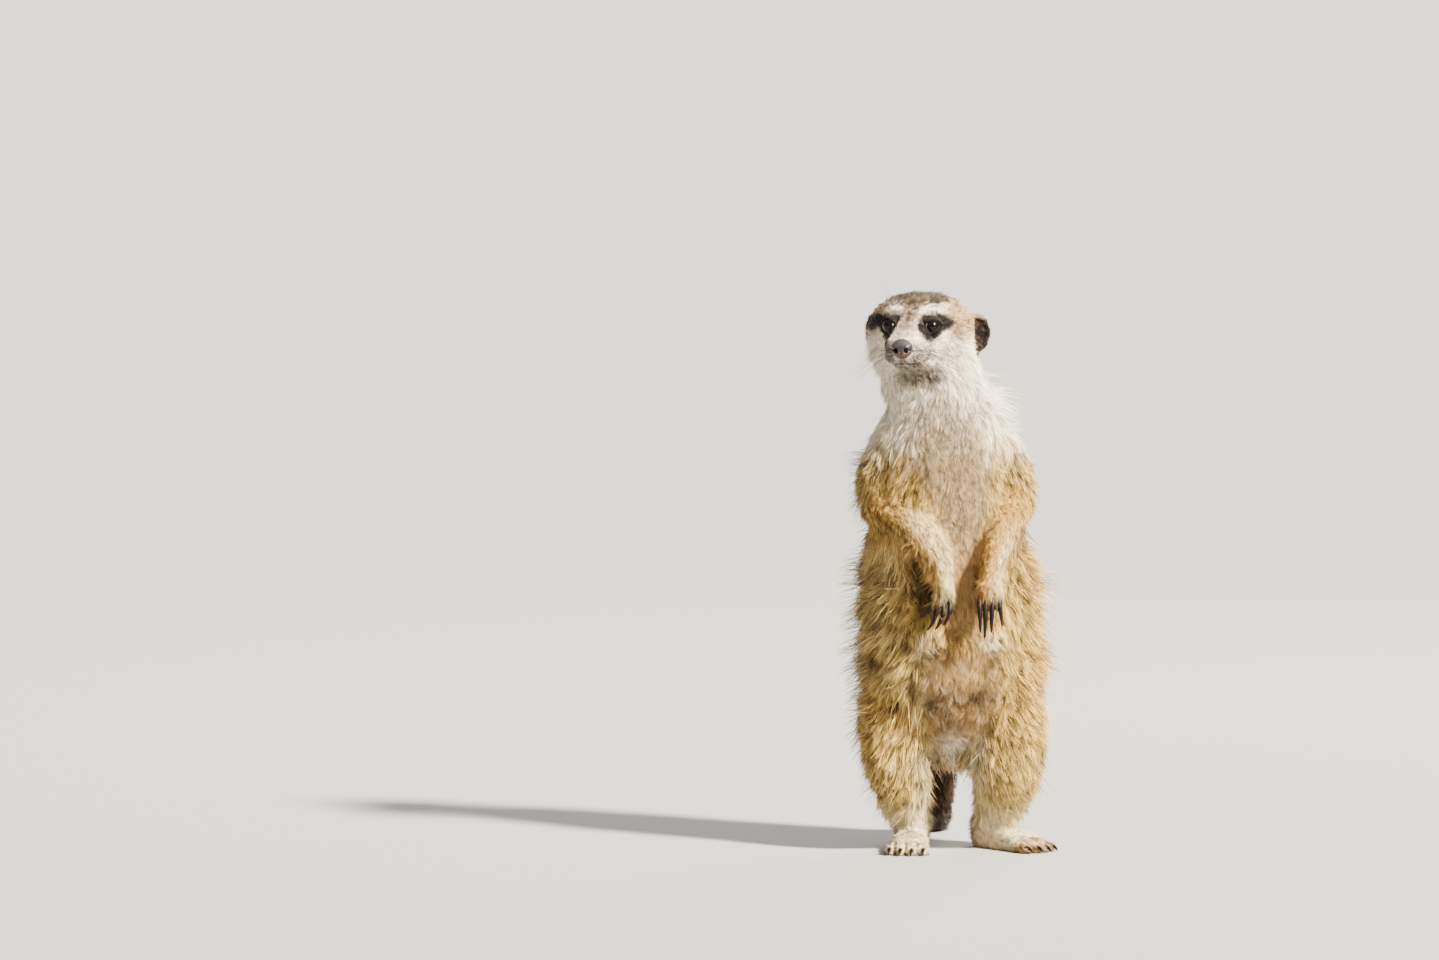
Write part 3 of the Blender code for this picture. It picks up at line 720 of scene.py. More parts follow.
def leg_marking(points, foot):
    x, y, z = points.T
    rough = waves(points, 6.0, 17)
    paint = Paint(points, BUFF)
    paint((248, 220, 162), ramp(z, 90, 40) * 0.8)
    inner = ramp(np.abs(x - 2), 24, 12) * ramp(y, 12, -6)
    paint((244, 232, 208), inner * 0.85)
    edge = hill((x + 17 + 1.5 * rough) / 4.5) * ramp(z, 62, 74) * ramp(z, 124, 114) * ramp(y, 4, -8)
    paint((252, 232, 190), edge * 0.6)
    paint((180, 150, 112), ramp(y, 12, 28) * ramp(z, 25, 45) * 0.7)
    paint((254, 240, 208), ramp(z, 36, 18) * 0.95)
    paint((198, 160, 114), foot * ramp(rough, 0.3, 0.8) * 0.4)
    gaps = [np.linalg.norm(points - gap[0], axis=1) for gap in TOE_GAPS[3:6]]
    toes = foot * ramp(np.min(gaps, axis=0), 12, 6)
    paint((186, 148, 98), toes * (0.7 + 0.3 * rough))
    # Painted shade in the grooves between the toes.
    paint((112, 92, 76), foot * toe_groove(points) * 0.85)
    grizzle = np.clip(0.15 + ramp(z, 6, 44) - 0.4 * inner - 0.1 * foot, 0.08, 1)
    return mottled(paint.colour, points, grizzle), grizzle


def tail_marking(points):
    _, y, z = points.T
    rough = waves(points, 5.0, 19)
    paint = Paint(points, TAIL_BROWN)
    paint(TAIL_ORANGE, ramp(rough, -0.3, 0.7) * 0.5)
    paint((170, 134, 94), ramp(z, 58, 76) * 0.8)
    # Painted shade: the low front of the tail, under the body near the floor, darker.
    paint((66, 50, 38), ramp(z, 26, 12) * ramp(y, 110, 90) * 0.45)
    paint((30, 23, 20), ramp(y, 148, 168))
    return paint.colour, 0.12 * ramp(y, 150, 130) + 0.4 * ramp(z, 50, 70)


def markings(points, kinds):
    """The colour and the grizzling of each point; kinds are its shares of KINDS."""
    kinds = dict(zip(KINDS, kinds.T))
    colour = np.zeros((len(points), 3))
    grizzle = np.zeros(len(points))
    groups = (
        ("head", head_marking(points)),
        ("ear", ear_marking(points)),
        ("trunk", trunk_marking(points)),
        ("arm", arm_marking(points, kinds["upper_arm"] / np.maximum(kinds["arm"], 1e-6))),
        ("leg", leg_marking(points, kinds["foot"] / np.maximum(kinds["leg"], 1e-6))),
        ("tail", tail_marking(points)),
    )
    total = np.maximum(sum(kinds[name] for name, _ in groups), 1e-6)
    for name, (tone, flecks) in groups:
        share = kinds[name] / total
        colour += tone * share[:, None]
        grizzle += flecks * share
    return colour, grizzle


KINDS = {
    "head": ("head",),
    "ear": ("ear",),
    "trunk": ("neck", "chest", "belly"),
    "arm": ("upper_arm", "forearm", "hand"),
    "leg": ("thigh", "shank", "foot"),
    "tail": ("tail_base", "tail_middle", "tail_tip"),
    "upper_arm": ("upper_arm",),
    "foot": ("foot",),
}


def plain(name):
    """A node's name without its side."""
    return name.replace("_right", "").replace("_left", "")


# --- Skin ------------------------------------------------------------------------------


VOXEL_MM = 1.5


def closed_form():
    """All the flesh, the nose and the eyes melted into one surface, and whose it is."""
    whole = bmesh.new()
    corners, faces, owners = [], [], []
    for name in FLESH + ["nose", "eye_right", "eye_left"]:
        solid = bmesh.new()
        solid.from_mesh(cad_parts[name].data)
        for vert in solid.verts:
            vert.co = Vector(to_mm(np.array(vert.co)))
        bmesh.ops.remove_doubles(solid, verts=solid.verts, dist=0.001)
        bmesh.ops.recalc_face_normals(solid, faces=solid.faces)
        solid.normal_update()
        if name in FLESH:
            start = len(corners)
            corners += [vert.co.copy() for vert in solid.verts]
            faces += [[start + vert.index for vert in face.verts] for face in solid.faces]
            owners += [FLESH.index(name)] * len(solid.faces)
        for vert in solid.verts:
            vert.co += vert.normal * 0.3
        mesh = bpy.data.meshes.new("solid")
        solid.to_mesh(mesh)
        solid.free()
        whole.from_mesh(mesh)
        bpy.data.meshes.remove(mesh)
    mesh = bpy.data.meshes.new("flesh")
    whole.to_mesh(mesh)
    whole.free()
    work = bpy.data.objects.new("flesh", mesh)
    bpy.context.scene.collection.objects.link(work)
    remesh = work.modifiers.new("Remesh", "REMESH")
    remesh.mode = "VOXEL"
    remesh.voxel_size = VOXEL_MM
    graph = bpy.context.evaluated_depsgraph_get()
    melted = bpy.data.meshes.new_from_object(work.evaluated_get(graph))
    bpy.data.objects.remove(work)
    points, triangles = largest_part(*arrays_of(melted))
    return points, triangles, BVHTree.FromPolygons(corners, faces), np.array(owners)


def owners_at(points, tree, owners):
    return np.array([owners[tree.find_nearest(Vector(point))[2]] for point in points])


def eye_frame(sign):
    """An eye's centre, and its outward, up and gaze directions."""
    centre = on_side(EYE_CENTRE, sign)
    gaze = turned_from_head(np.array((sign * math.sin(GAZE), math.cos(GAZE), 0.03)))[0]
    gaze /= np.linalg.norm(gaze)
    out = np.cross(gaze, (0, 0, 1)) * -sign
    out /= np.linalg.norm(out)
    if out[0] * sign < 0:
        out = -out
    lift = np.cross(out, gaze)
    lift *= np.sign(lift[2]) / np.linalg.norm(lift)
    return centre, out, lift, gaze


def lid_gap(points, sign):
    """Distance outside the almond opening of the lids, on the ball; below 0 inside."""
    centre, out, lift, gaze = eye_frame(sign)
    rays = points - centre
    size = np.linalg.norm(rays, axis=1)
    rays = rays / np.maximum(size, 1e-6)[:, None]
    across = rays @ out
    height = rays @ lift - 0.10 * across
    front = rays @ gaze
    bulge = np.clip(1 - (across / LID_WIDTH) ** 2, 0, None)
    upper = LID_UPPER * bulge**0.8
    lower = LID_LOWER * bulge**0.9
    inside = np.minimum(upper - height, height + lower)
    beyond = np.abs(across) - LID_WIDTH
    gap = np.where(beyond > 0, np.hypot(np.maximum(beyond, 0), height), -inside)
    gap = np.where(front < 0.05, 2.0, gap)
    return gap * EYE_RADIUS, size, rays


def lidded(points):
    """Lids round each eye: a rim over the ball, a fold above it, and room for the ball."""
    points = points.copy()
    for sign in (-1, 1):
        centre = eye_frame(sign)[0]
        near = np.linalg.norm(points - centre, axis=1) < 11
        gap, size, rays = lid_gap(points[near], sign)
        rim = EYE_RADIUS + 0.55 - 0.25 * hill((gap - 0.1) / 0.25)
        rim += 0.3 * hill((gap - 1.0) / 0.5) - 0.25 * hill((gap - 2.0) / 0.35)
        away = ramp(gap, 1.6, 4.2)
        shape = np.maximum(size, rim) * away + rim * (1 - away)
        shape = np.where(gap < 0, EYE_RADIUS - 1.4, shape)
        points[near] = centre + rays * shape[:, None]
    return points


def refined(points, faces, centres, radius):
    """Splits the triangles near the centres into finer ones."""
    mesh = bpy.data.meshes.new("fine")
    mesh.from_pydata(points.tolist(), [], faces.tolist())
    bm = bmesh.new()
    bm.from_mesh(mesh)
    bpy.data.meshes.remove(mesh)
    near = np.zeros(len(points), bool)
    for centre in centres:
        near |= np.linalg.norm(points - centre, axis=1) < radius
    edges = [edge for edge in bm.edges if near[edge.verts[0].index] and near[edge.verts[1].index]]
    bmesh.ops.subdivide_edges(bm, edges=edges, cuts=1, use_grid_fill=True)
    bmesh.ops.triangulate(bm, faces=[face for face in bm.faces if len(face.verts) > 3])
    fine = bpy.data.meshes.new("fine")
    bm.to_mesh(fine)
    bm.free()
    return arrays_of(fine)


def nose_bedded(points):
    """Draws the skin well back inside the nose, clear of the nostrils."""
    local = head_frame(points) - NOSE_CENTRE
    reach = np.linalg.norm(local / np.array((5.9, 4.2, 5.6)), axis=1)
    share = ramp(local[:, 1] / 3.9, -0.15, 0.3) * (reach < 1.06)
    return in_head(NOSE_CENTRE + local * (1 - 0.5 * share)[:, None])


def face_creased(points, normals):
    """The mouth's line, a swell above it, and the ears' cups."""
    head = head_frame(points)
    left, forward, up = head.T
    lip = lip_at(forward)
    groove = hill((up - lip) / 0.8) * ramp(forward, 17, 24) * 1.4
    puff = hill((up - lip - 2.2) / 1.5) * ramp(forward, 22, 28) * 0.35
    depth = groove - puff
    for sign in (-1, 1):
        wide, through = across_ear(left * sign, forward)
        rise = up - EAR_CENTRE[2]
        bowl = 1 - (wide / 6.4) ** 2 - ((rise - 0.3) / 8.0) ** 2
        ahead = turned_from_head(np.array((sign * math.sin(EAR_SWEEP), math.cos(EAR_SWEEP), 0)))[0]
        cupped = (normals @ ahead > 0.3) & (through > -1)
        depth = depth + np.where(cupped, 1.3 * ramp(bowl, 0, 0.45), 0)
        fold = hill((wide + 1.5) / 1.1, (rise + 1.0) / 3.6)
        depth = depth - np.where(cupped, fold, 0)
    return points - normals * depth[:, None]


def on_parts(owner, *parts):
    """Whether each point belongs to one of these body parts, on either side."""
    return np.isin(owner, [index for index, name in enumerate(FLESH) if plain(name) in parts])


def from_centre(head, centre):
    """Each point's distance from a place on its own side of the head."""
    own_side = np.where(head[:, :1] > 0, 1, -1) ** np.array((1, 0, 0))
    return np.linalg.norm(head - centre * own_side, axis=1)


def coat_fields(points, owner, edges):
    """The coat's depth, length, lift, thickness of growth and width at each point."""
    values = np.array([COAT[plain(name)] for name in FLESH], float)[owner]
    x, y, z = points.T
    head = head_frame(points)
    _, forward, up = head.T
    side = np.abs(head[:, 0])
    is_head = on_parts(owner, "head")
    is_neck = on_parts(owner, "neck")
    is_trunk = on_parts(owner, "chest", "belly")
    is_limb = on_parts(owner, "upper_arm", "thigh")
    is_hand = on_parts(owner, "hand")
    is_arm = on_parts(owner, "hand", "forearm")
    cheek = ramp(side, 14, 20) * ramp(up, 0, -8) * ramp(forward, 16, 6)
    face = ramp(forward, 2, 12) * ramp(side, 26, 20) * (1 - cheek)
    front = ramp(y, -10, -22)
    middle = front * ramp(np.abs(x - 3), 26, 16) * ramp(z, 128, 150)
    low = front * ramp(np.abs(x - 6), 27, 18) * ramp(z, 124, 112)
    flank = ramp(np.abs(x), 30, 42) * ramp(z, 182, 156) * ramp(z, 60, 84)
    outer = ramp(np.abs(x - 2), 35, 43) * ramp(z, 52, 66) * ramp(z, 232, 214)
    mane = ramp(x, 6, 18) * ramp(z, 252, 240)
    fringe = (x < 8) * ramp(off_arm_line(points), 0.5, -2.5) * ramp(z, 142, 147) * ramp(z, 182, 172)
    for share, goal in (
        (is_head * ramp(forward, -4, -14), (2.8, 7.0, 28, 2.4, 0.21)),
        (is_head * cheek, (3.0, 8.0, 38, 3.0, 0.19)),
        (is_head * face, (0.9, 3.0, 24, 5.4, 0.155)),
        (is_head * ramp(forward, 19, 29), (0.45, 1.7, 18, 8.0, 0.12)),
        (is_trunk * middle, (2.2, 4.6, 21, 3.3, 0.17)),
        (is_trunk * low, (2.0, 5.8, 18, 2.1, 0.135)),
        (is_trunk * flank, (7.0, 14.5, 46, 1.3, 0.26)),
        (is_neck * ramp(y, -14, -24), (4.0, 7.5, 24, 2.3, 0.20)),
        (is_limb * outer, (3.6, 9.5, 36, 2.0, 0.2)),
        (is_head * ramp(from_centre(head, EYE_CENTRE), 14, 10), (0.6, 1.8, 15, 8.0, 0.12)),
        (is_neck * mane, (5.0, 12.0, 50, 2.0, 0.20)),
        (on_parts(owner, "foot") * ramp(z, 8, 18), (2.4, 6.5, 26, 2.6, 0.20)),
        (is_hand * ramp(z, 138, 148), (1.6, 5.0, 24, 3.0, 0.18)),
        (is_arm * fringe, (2.0, 7.5, 40, 3.4, 0.16)),
        (is_hand * ramp(z, 143, 139), (0.8, 7.5, 9, 5.0, 0.17)),
        (is_head * ramp(from_centre(head, EAR_CENTRE), 18, 13.5), (0.9, 2.2, 18, 6.0, 0.15)),
    ):
        values = mixed(values, goal, share)
    values = smoothed(values, edges, 11)
    sole = ramp(z, 5.0, 1.2)
    values[:, 0] = values[:, 0] * (1 - sole) + 0.1 * sole
    return values


def flow_at(points, owner):
    """Which way the coat lies."""
    flow = np.zeros_like(points)
    x, y, z = points.T
    sides = np.array([-1 if "right" in name else 1 for name in FLESH])[owner]
    head = head_frame(points)
    away = head - NOSE_CENTRE
    away[:, 1] -= 6
    away[:, 2] *= 1.15
    back = turned_from_head(unit(away))
    cheek = ramp(np.abs(head[:, 0]), 12, 22) * ramp(head[:, 2], 2, -8)
    back += cheek[:, None] * np.array((0, 0, -0.7))
    pick = on_parts(owner, "head")
    flow[pick] = unit(back)[pick]
    for sign in (-1, 1):
        base = on_side(EAR_CENTRE, sign * 0.75)
        pick = on_parts(owner, "ear") & (sides == sign)
        flow[pick] = unit(points - base)[pick]
    down = np.array((0.0, 0.0, -1.0))
    out = unit(points * np.array((1, 1, 0)) - np.array((0, 4, 0)))
    parted = 0.35 * ramp(np.abs(x - 2), 8, 20) * ramp(y, 10, -8) * ramp(z, 205, 160)
    body = down + out * (0.15 + parted)[:, None]
    flank = (ramp(np.abs(x), 28, 42) * ramp(z, 176, 150))[:, None]
    body = body + out * 0.25 * flank
    pick = on_parts(owner, "neck", "chest", "belly", "upper_arm", "thigh", "shank")
    flow[pick] = unit(body)[pick]
    for side, sign in SIGN.items():
        line = np.array(ARM_LINE[side], float)
        pick = on_parts(owner, "forearm", "hand") & (sides == sign)
        flow[pick] = along(points[pick], line) + out[pick] * 0.12
        pick = on_parts(owner, "foot") & (sides == sign)
        flow[pick] = unit(foot_ahead(side) * 0.9 + down * ramp(z[pick], 4, 16)[:, None])
    pick = on_parts(owner, *KINDS["tail"])
    flow[pick] = along(points[pick], np.array(TAIL_LINE, float))
    return unit(flow)


def along(points, line):
    """The direction of the nearest stretch of a line, soft from one to the next."""
    total = np.zeros_like(points)
    for start, end in zip(line, line[1:]):
        way = end - start
        t = np.clip((points - start) @ way / (way @ way), 0, 1)
        gap = np.linalg.norm(points - start - t[:, None] * way, axis=1)
        total += (way / np.linalg.norm(way)) * (1 / (gap**3 + 1))[:, None]
    return unit(total)


def make_skin():
    points, faces, tree, owners = closed_form()
    edges = edges_of(faces)
    owner = owners_at(points, tree, owners)
    points = smoothed(points, edges, 3)
    fields = coat_fields(points, owner, edges)
    depth = smoothed(fields[:, :1], edges, 6)[:, 0]
    steps = 4
    for _ in range(steps):
        normals = smoothed(normals_of(points, faces), edges, 4)
        points = points - unit(normals) * (depth / steps)[:, None]
        soft = ramp(depth, 1.0, 3.0)[:, None]
        points += soft * (smoothed(points, edges, 2) - points)
    swell = waves(points, 15.0, 83, (1, 1, 0.7)) * 0.9 * ramp(depth, 2.0, 5.0)
    swell += 0.9 * smoothed(on_parts(owner, "ear").astype(float), edges, 3)
    points += smoothed(normals_of(points, faces), edges, 4) * swell[:, None]
    points[:, 2] = np.maximum(points[:, 2], 0.05)
    eyes = [eye_frame(sign)[0] for sign in (-1, 1)]
    lips = np.array(((-6, 34, -14), (6, 34, -14), (-9, 25, -13), (9, 25, -13)))
    spots = [in_head(lip)[0] for lip in lips]
    cups = [on_side(EAR_CENTRE, sign) for sign in (-1, 1)]
    points, faces = refined(points, faces, eyes + spots + cups, 11.5)
    points, faces = refined(points, faces, eyes + spots, 9.5)
    points, faces = refined(points, faces, eyes, 8.6)
    toes = [gap[0] for gap in TOE_GAPS[1::3]]
    points, faces = refined(points, faces, toes, 9.5)
    points = nose_bedded(lidded(points))
    normals = normals_of(points, faces)
    points = face_creased(points, normals) - normals * (1.0 * toe_groove(points))[:, None]
    points[:, 2] = np.maximum(points[:, 2], 0.05)
    edges = edges_of(faces)
    owner = owners_at(points, tree, owners)
    fields = coat_fields(points, owner, edges)
    normals = normals_of(points, faces)
    flow = smoothed(flow_at(points, owner), edges, 12)
    kinds = np.stack([on_parts(owner, *parts) for parts in KINDS.values()], 1).astype(float)
    kinds = smoothed(kinds, edges, 7)
    return {
        "points": points,
        "faces": faces,
        "normals": normals,
        "owner": owner,
        "fields": fields,
        "flow": flow,
        "kinds": kinds,
    }


# --- Coat ------------------------------------------------------------------------------


def roots_on(skin, chosen, rng, share=1.0):
    """Evenly strewn roots on the chosen triangles, by the coat's own thickness of growth."""
    faces = skin["faces"][chosen]
    a, b, c = (skin["points"][faces[:, k]] for k in range(3))
    area = np.linalg.norm(np.cross(b - a, c - a), axis=1) / 2
    growth = skin["fields"][faces, 3].mean(1) * area * share
    count = np.floor(growth + rng.uniform(size=len(growth))).astype(int)
    index = np.repeat(np.arange(len(faces)), count)
    u, v = rng.uniform(size=(2, len(index)))
    over = u + v > 1
    u[over], v[over] = 1 - u[over], 1 - v[over]
    weights = np.stack([1 - u - v, u, v], 1)
    corners = faces[index]

    def at(values):
        return (values[corners] * weights[:, :, None]).sum(1)

    spots = {key: at(skin[key]) for key in ("points", "normals", "fields", "flow", "kinds")}
    spots["owner"] = skin["owner"][corners[:, 0]]
    return spots


def kept(spots, mask):
    return {key: value[mask] for key, value in spots.items()}


def unwrapped(points, owner):
    """Each root's place on the part's own skin, opened round its long axis into a cell."""
    places = np.zeros((len(points), 2))
    parts = np.unique(owner)
    cells = math.ceil(math.sqrt(len(parts)))
    for number, part in enumerate(parts):
        pick = owner == part
        centre = points[pick].mean(0)
        _, axes = np.linalg.eigh(np.cov((points[pick] - centre).T) if pick.sum() > 3 else np.eye(3))
        axes = axes.T[::-1]
        local = (points[pick] - centre) @ axes.T
        angle = np.arctan2(local[:, 2], local[:, 1])
        pair = np.stack([angle, local[:, 0]], 1)
        low, high = pair.min(0), pair.max(0)
        cell = np.array((number % cells, number // cells))
        inside = 0.01 + 0.97 * (pair - low) / np.maximum(high - low, 1e-6)
        places[pick] = (cell + inside) / cells
    return places


# Where the rings of each kind of tuft are, from root to tip, and how wide each is.
TUFTS = {
    "spike": ((0.0,), (0.85,)),
    "bent": ((0.0, 0.5), (1.0, 0.72)),
    "long": ((0.0, 0.34, 0.68), (1.0, 0.92, 0.6)),
}


def tuft_faces(rings):
    """Triangles of one closed three-sided tuft with this many rings under its tip."""
    faces = [(0, 2, 1)]
    for ring in range(rings - 1):
        start = ring * 3
        for k in range(3):
            nxt = (k + 1) % 3
            faces.append((start + k, start + nxt, start + nxt + 3))
            faces.append((start + k, start + nxt + 3, start + k + 3))
    start = (rings - 1) * 3
    for k in range(3):
        faces.append((start + k, start + (k + 1) % 3, rings * 3))
    return np.array(faces)


def locks_of(root, size, rng):
    """The tufts that lead a lock, and the lock of each tuft."""
    leaders = rng.permutation(len(root))[: max(len(root) // size, 1)]
    tree = KDTree(len(leaders))
    for number, leader in enumerate(leaders):
        tree.insert(Vector(root[leader]), number)
    tree.balance()
    return leaders, np.array([tree.find(Vector(point))[1] for point in root])


def combed(spots, rng, clump, lock_size, extra):
    """Where each tuft goes: its root, knee and tip, its half width and its own directions."""
    count = len(spots["points"])
    root = spots["points"]
    normal = unit(spots["normals"])
    depth, length, lift, _, half = spots["fields"].T
    length = length * extra.get("length", 1.0) * rng.uniform(0.72, 1.22, count)
    lift = np.radians(lift * extra.get("lift", 1.0)) * rng.uniform(0.6, 1.45, count)
    half = half * extra.get("half", 1.0) * rng.uniform(0.8, 1.25, count)
    flow = spots["flow"] + 0.18 * rng.normal(size=(count, 3))
    swirl = np.stack([waves(root, 15.0, 31 + k) for k in range(3)], 1)
    flow = flow + extra.get("swirl", 0.22) * swirl
    leaders, lock = locks_of(root, lock_size, rng)
    flow = flow + (0.16 * rng.normal(size=(len(leaders), 3)))[lock]
    tone = rng.uniform(-1, 1, len(leaders))[lock]
    leaders_wide, wide = locks_of(root, lock_size * 6, rng)
    away = np.linalg.norm(root - root[leaders_wide][wide], axis=1)
    away /= np.maximum((np.bincount(wide, away) / np.maximum(np.bincount(wide), 1))[wide], 0.1)
    flow = flow + (extra.get("stray", 0.22) * rng.normal(size=(len(leaders_wide), 3)))[wide]
    lift = lift * rng.uniform(0.5, 1.55, len(leaders_wide))[wide]
    lift = lift * rng.uniform(0.75, 1.3, len(leaders))[lock]
    length = length * rng.uniform(0.85, 1.15, len(leaders))[lock]
    tone = 0.6 * tone + 0.5 * rng.uniform(-1, 1, len(leaders_wide))[wide]
    flow = unit(flow - normal * (flow * normal).sum(1, keepdims=True))
    start_way = flow * np.cos(lift)[:, None] + normal * np.sin(lift)[:, None]
    end_lift = lift * extra.get("droop", 0.45)
    end_way = flow * np.cos(end_lift)[:, None] + normal * np.sin(end_lift)[:, None]
    end_way = unit(end_way - np.array((0.0, 0.0, 0.10)))
    reach = length[:, None]
    tip = root + (start_way * 0.5 + end_way * 0.5) * reach
    clump = clump * (0.35 + 0.65 * ramp(length, 4.5, 9.5))[:, None]
    for nearest, pull in ((leaders[lock], clump), (leaders_wide[wide], 0.7 * clump)):
        same = ((normal * normal[nearest]).sum(1) > 0.6)[:, None]
        tip = tip + same * pull * rng.uniform(0.6, 1.25, count)[:, None] * (tip[nearest] - tip)
    start, end = np.abs(root[:, 0] + OFFSET[0]), np.abs(tip[:, 0] + OFFSET[0])
    share = np.clip((WIDEST - start) / np.maximum(end - start, 1e-6), 0.2, 1)
    tip = root + (tip - root) * np.where(end > WIDEST, share, 1)[:, None]
    side = unit(np.cross(start_way, normal) + 0.4 * rng.normal(size=(count, 3)))
    side = unit(side - start_way * (side * start_way).sum(1, keepdims=True))
    return {
        "root": root,
        "knee": root + start_way * reach * 0.5,
        "tip": tip,
        "half": half,
        "side": side,
        "lifted": unit(np.cross(side, start_way)),
        "normal": normal,
        "sunk": np.minimum(0.35, depth),
        "lock": tone,
        # How far out in its wide lock a tuft stands, for the painted shade at locks' edges.
        "edge": ramp(away, 0.7, 1.7),
        "tilt": 0.3 * rng.normal(size=(len(leaders), 3))[lock],
        "place": unwrapped(root, spots["owner"]),
    }


def tufts_of(kind, comb, tones):
    """Closed three-sided tufts: triangles, corners, colours, normals and places on the map."""
    stations, widths = TUFTS[kind]
    rings = len(stations)
    keys = ("root", "knee", "tip", "normal", "side", "lifted")
    root, knee, tip, normal, side, lifted = (comb[key] for key in keys)
    facing = normal + comb["tilt"]
    count, size = len(root), rings * 3 + 1
    corners, normals, colours = np.zeros((3, count, size, 3))
    local = np.zeros((size, 2))
    for ring, (t, width) in enumerate(zip(stations, widths)):
        centre = root * (1 - t) ** 2 + knee * 2 * t * (1 - t) + tip * t**2
        if ring == 0:
            centre = root - normal * comb["sunk"][:, None]
        wide = (comb["half"] * width)[:, None]
        first = ring * 3
        corners[:, first] = centre + side * wide
        corners[:, first + 1] = centre - side * wide
        corners[:, first + 2] = centre + lifted * wide * 0.9
        normals[:, first] = facing + 0.9 * side
        normals[:, first + 1] = facing - 0.9 * side
        normals[:, first + 2] = facing + 0.5 * lifted
        low, high = (tones[0], tones[1]) if t < 0.5 else (tones[1], tones[2])
        colours[:, first : first + 3] = (low + (high - low) * (2 * t % 1))[:, None]
        local[first : first + 3] = ((0.0, t), (1.0, t), (0.5, t + 0.12))
    corners[:, -1], normals[:, -1], colours[:, -1], local[-1] = tip, facing, tones[2], (0.5, 1.0)
    corners[:, :, 2] = np.maximum(corners[:, :, 2], 0.02)
    faces = tuft_faces(rings)
    a, b, c = (corners[:, faces[-1][k]] - corners[:, :3].mean(1) for k in range(3))
    if np.median((np.cross(a, b) * c).sum(1)) < 0:
        faces = faces[:, ::-1]
    triangles = (faces[None] + np.arange(count)[:, None, None] * size).reshape(-1, 3)
    patch = comb["place"][:, None] * 0.996 + local[None] * 0.003
    flat = [values.reshape(-1, values.shape[-1]) for values in (corners, colours, normals, patch)]
    return triangles, *flat


def grow(name, spots, rng, material, bent, clump, lock_size, extra, kinds=("bent", "spike")):
    """Makes one coat piece; bent is the share of tufts that bend."""
    comb = combed(spots, rng, clump, lock_size, extra)
    tones = tuft_tones(spots, comb["lock"], comb["edge"], rng)
    bends = rng.uniform(size=len(comb["root"])) < bent
    parts = []
    for kind, mask in zip(kinds, (bends, ~bends)):
        if mask.any():
            parts.append(tufts_of(kind, kept(comb, mask), [tone[mask] for tone in tones]))
    triangles, points, colours, normals, places = zip(*parts)
    starts = np.cumsum([0] + [len(corners) for corners in points])
    triangles = np.concatenate([part + start for part, start in zip(triangles, starts)])
    points, colours, normals, places = map(np.concatenate, (points, colours, normals, places))
    obj = painted(name, points, triangles, colours, material)
    obj.data.normals_split_custom_set_from_vertices(unit(normals))
    layer = obj.data.uv_layers.new(name="OFBake")
    layer.data.foreach_set("uv", places[triangles.ravel()].astype(np.float32).ravel())
    print(name, len(comb["root"]), "tufts", len(triangles), "triangles", flush=True)
    return obj


def tuft_tones(spots, lock, edge, rng):
    """Colours at root, middle and tip: darker roots, partly painted shade, painted shade at locks'
    edges, and grizzled tips.
    """
    count = len(spots["points"])
    colour, grizzle = markings(spots["points"], spots["kinds"])
    lock, edge = lock[:, None], edge[:, None]
    grizzle = np.clip(grizzle, 0, 1)[:, None]
    spread = (0.24 + 0.18 * grizzle) * rng.normal(size=(count, 1)) + (0.26 + 0.40 * grizzle) * lock
    colour = colour * np.exp(np.clip(spread, -1.5, 0.45))
    luck = 0.45 * rng.uniform(size=(count, 1)) + 0.275 * (1 + lock)
    # Darker roots: the underfur's own dark brown, deepened with painted shade inside the coat.
    root = colour * (0.62 - 0.44 * grizzle) * (1 - grizzle * np.array((0.05, 0.09, 0.10)))
    middle = colour * (0.95 - 0.12 * grizzle)
    pale = np.repeat(tint(255, 230, 156)[None], count, 0)
    pale = mixed(pale, tint(234, 216, 190), ramp(spots["points"][:, 1], -14, 14))
    pale = pale * rng.uniform(0.9, 1.1, (count, 1))
    dark = tint(*DARK_BROWN) * rng.uniform(0.6, 1.1, (count, 1))
    tip = colour * (1.04 + 0.10 * grizzle)
    tip = tip + (luck < 0.52) * grizzle * 0.9 * (pale - tip)
    middle = middle + (luck < 0.36) * grizzle * 0.6 * (pale - middle)
    tip = tip + (luck > 0.64) * grizzle * 0.9 * (dark - tip)
    middle = middle + (luck > 0.60) * grizzle * 0.8 * (dark - middle)
    # Painted shade on the tufts at the edges of each wide lock.
    edge_shade = 1 - (0.22 + 0.48 * grizzle) * edge
    return root * edge_shade, middle * edge_shade, tip * (0.5 + 0.5 * edge_shade)


def pieces_of(owner, points):
    """Which coat piece each point belongs to."""
    sides = np.array(["right" if "right" in name else "left" for name in FLESH])[owner]
    side, forward, _ = head_frame(points).T
    piece = np.array([plain(name) for name in FLESH], object)[owner]
    piece[on_parts(owner, "head") & (forward > 6) & (np.abs(side) < 24)] = "face"
    for side in SIDES:
        piece[on_parts(owner, "upper_arm", "forearm") & (sides == side)] = "arm_" + side
        piece[on_parts(owner, "thigh", "shank") & (sides == side)] = "leg_" + side
    piece[on_parts(owner, "hand", "foot")] = "paws"
    for part in ("chest", "belly"):
        piece[on_parts(owner, part)] = part + "_back"
        piece[on_parts(owner, part) & (points[:, 1] <= 0)] = part + "_front"
    piece[on_parts(owner, *KINDS["tail"])] = "tail"
    return piece


COAT_SEED = 8
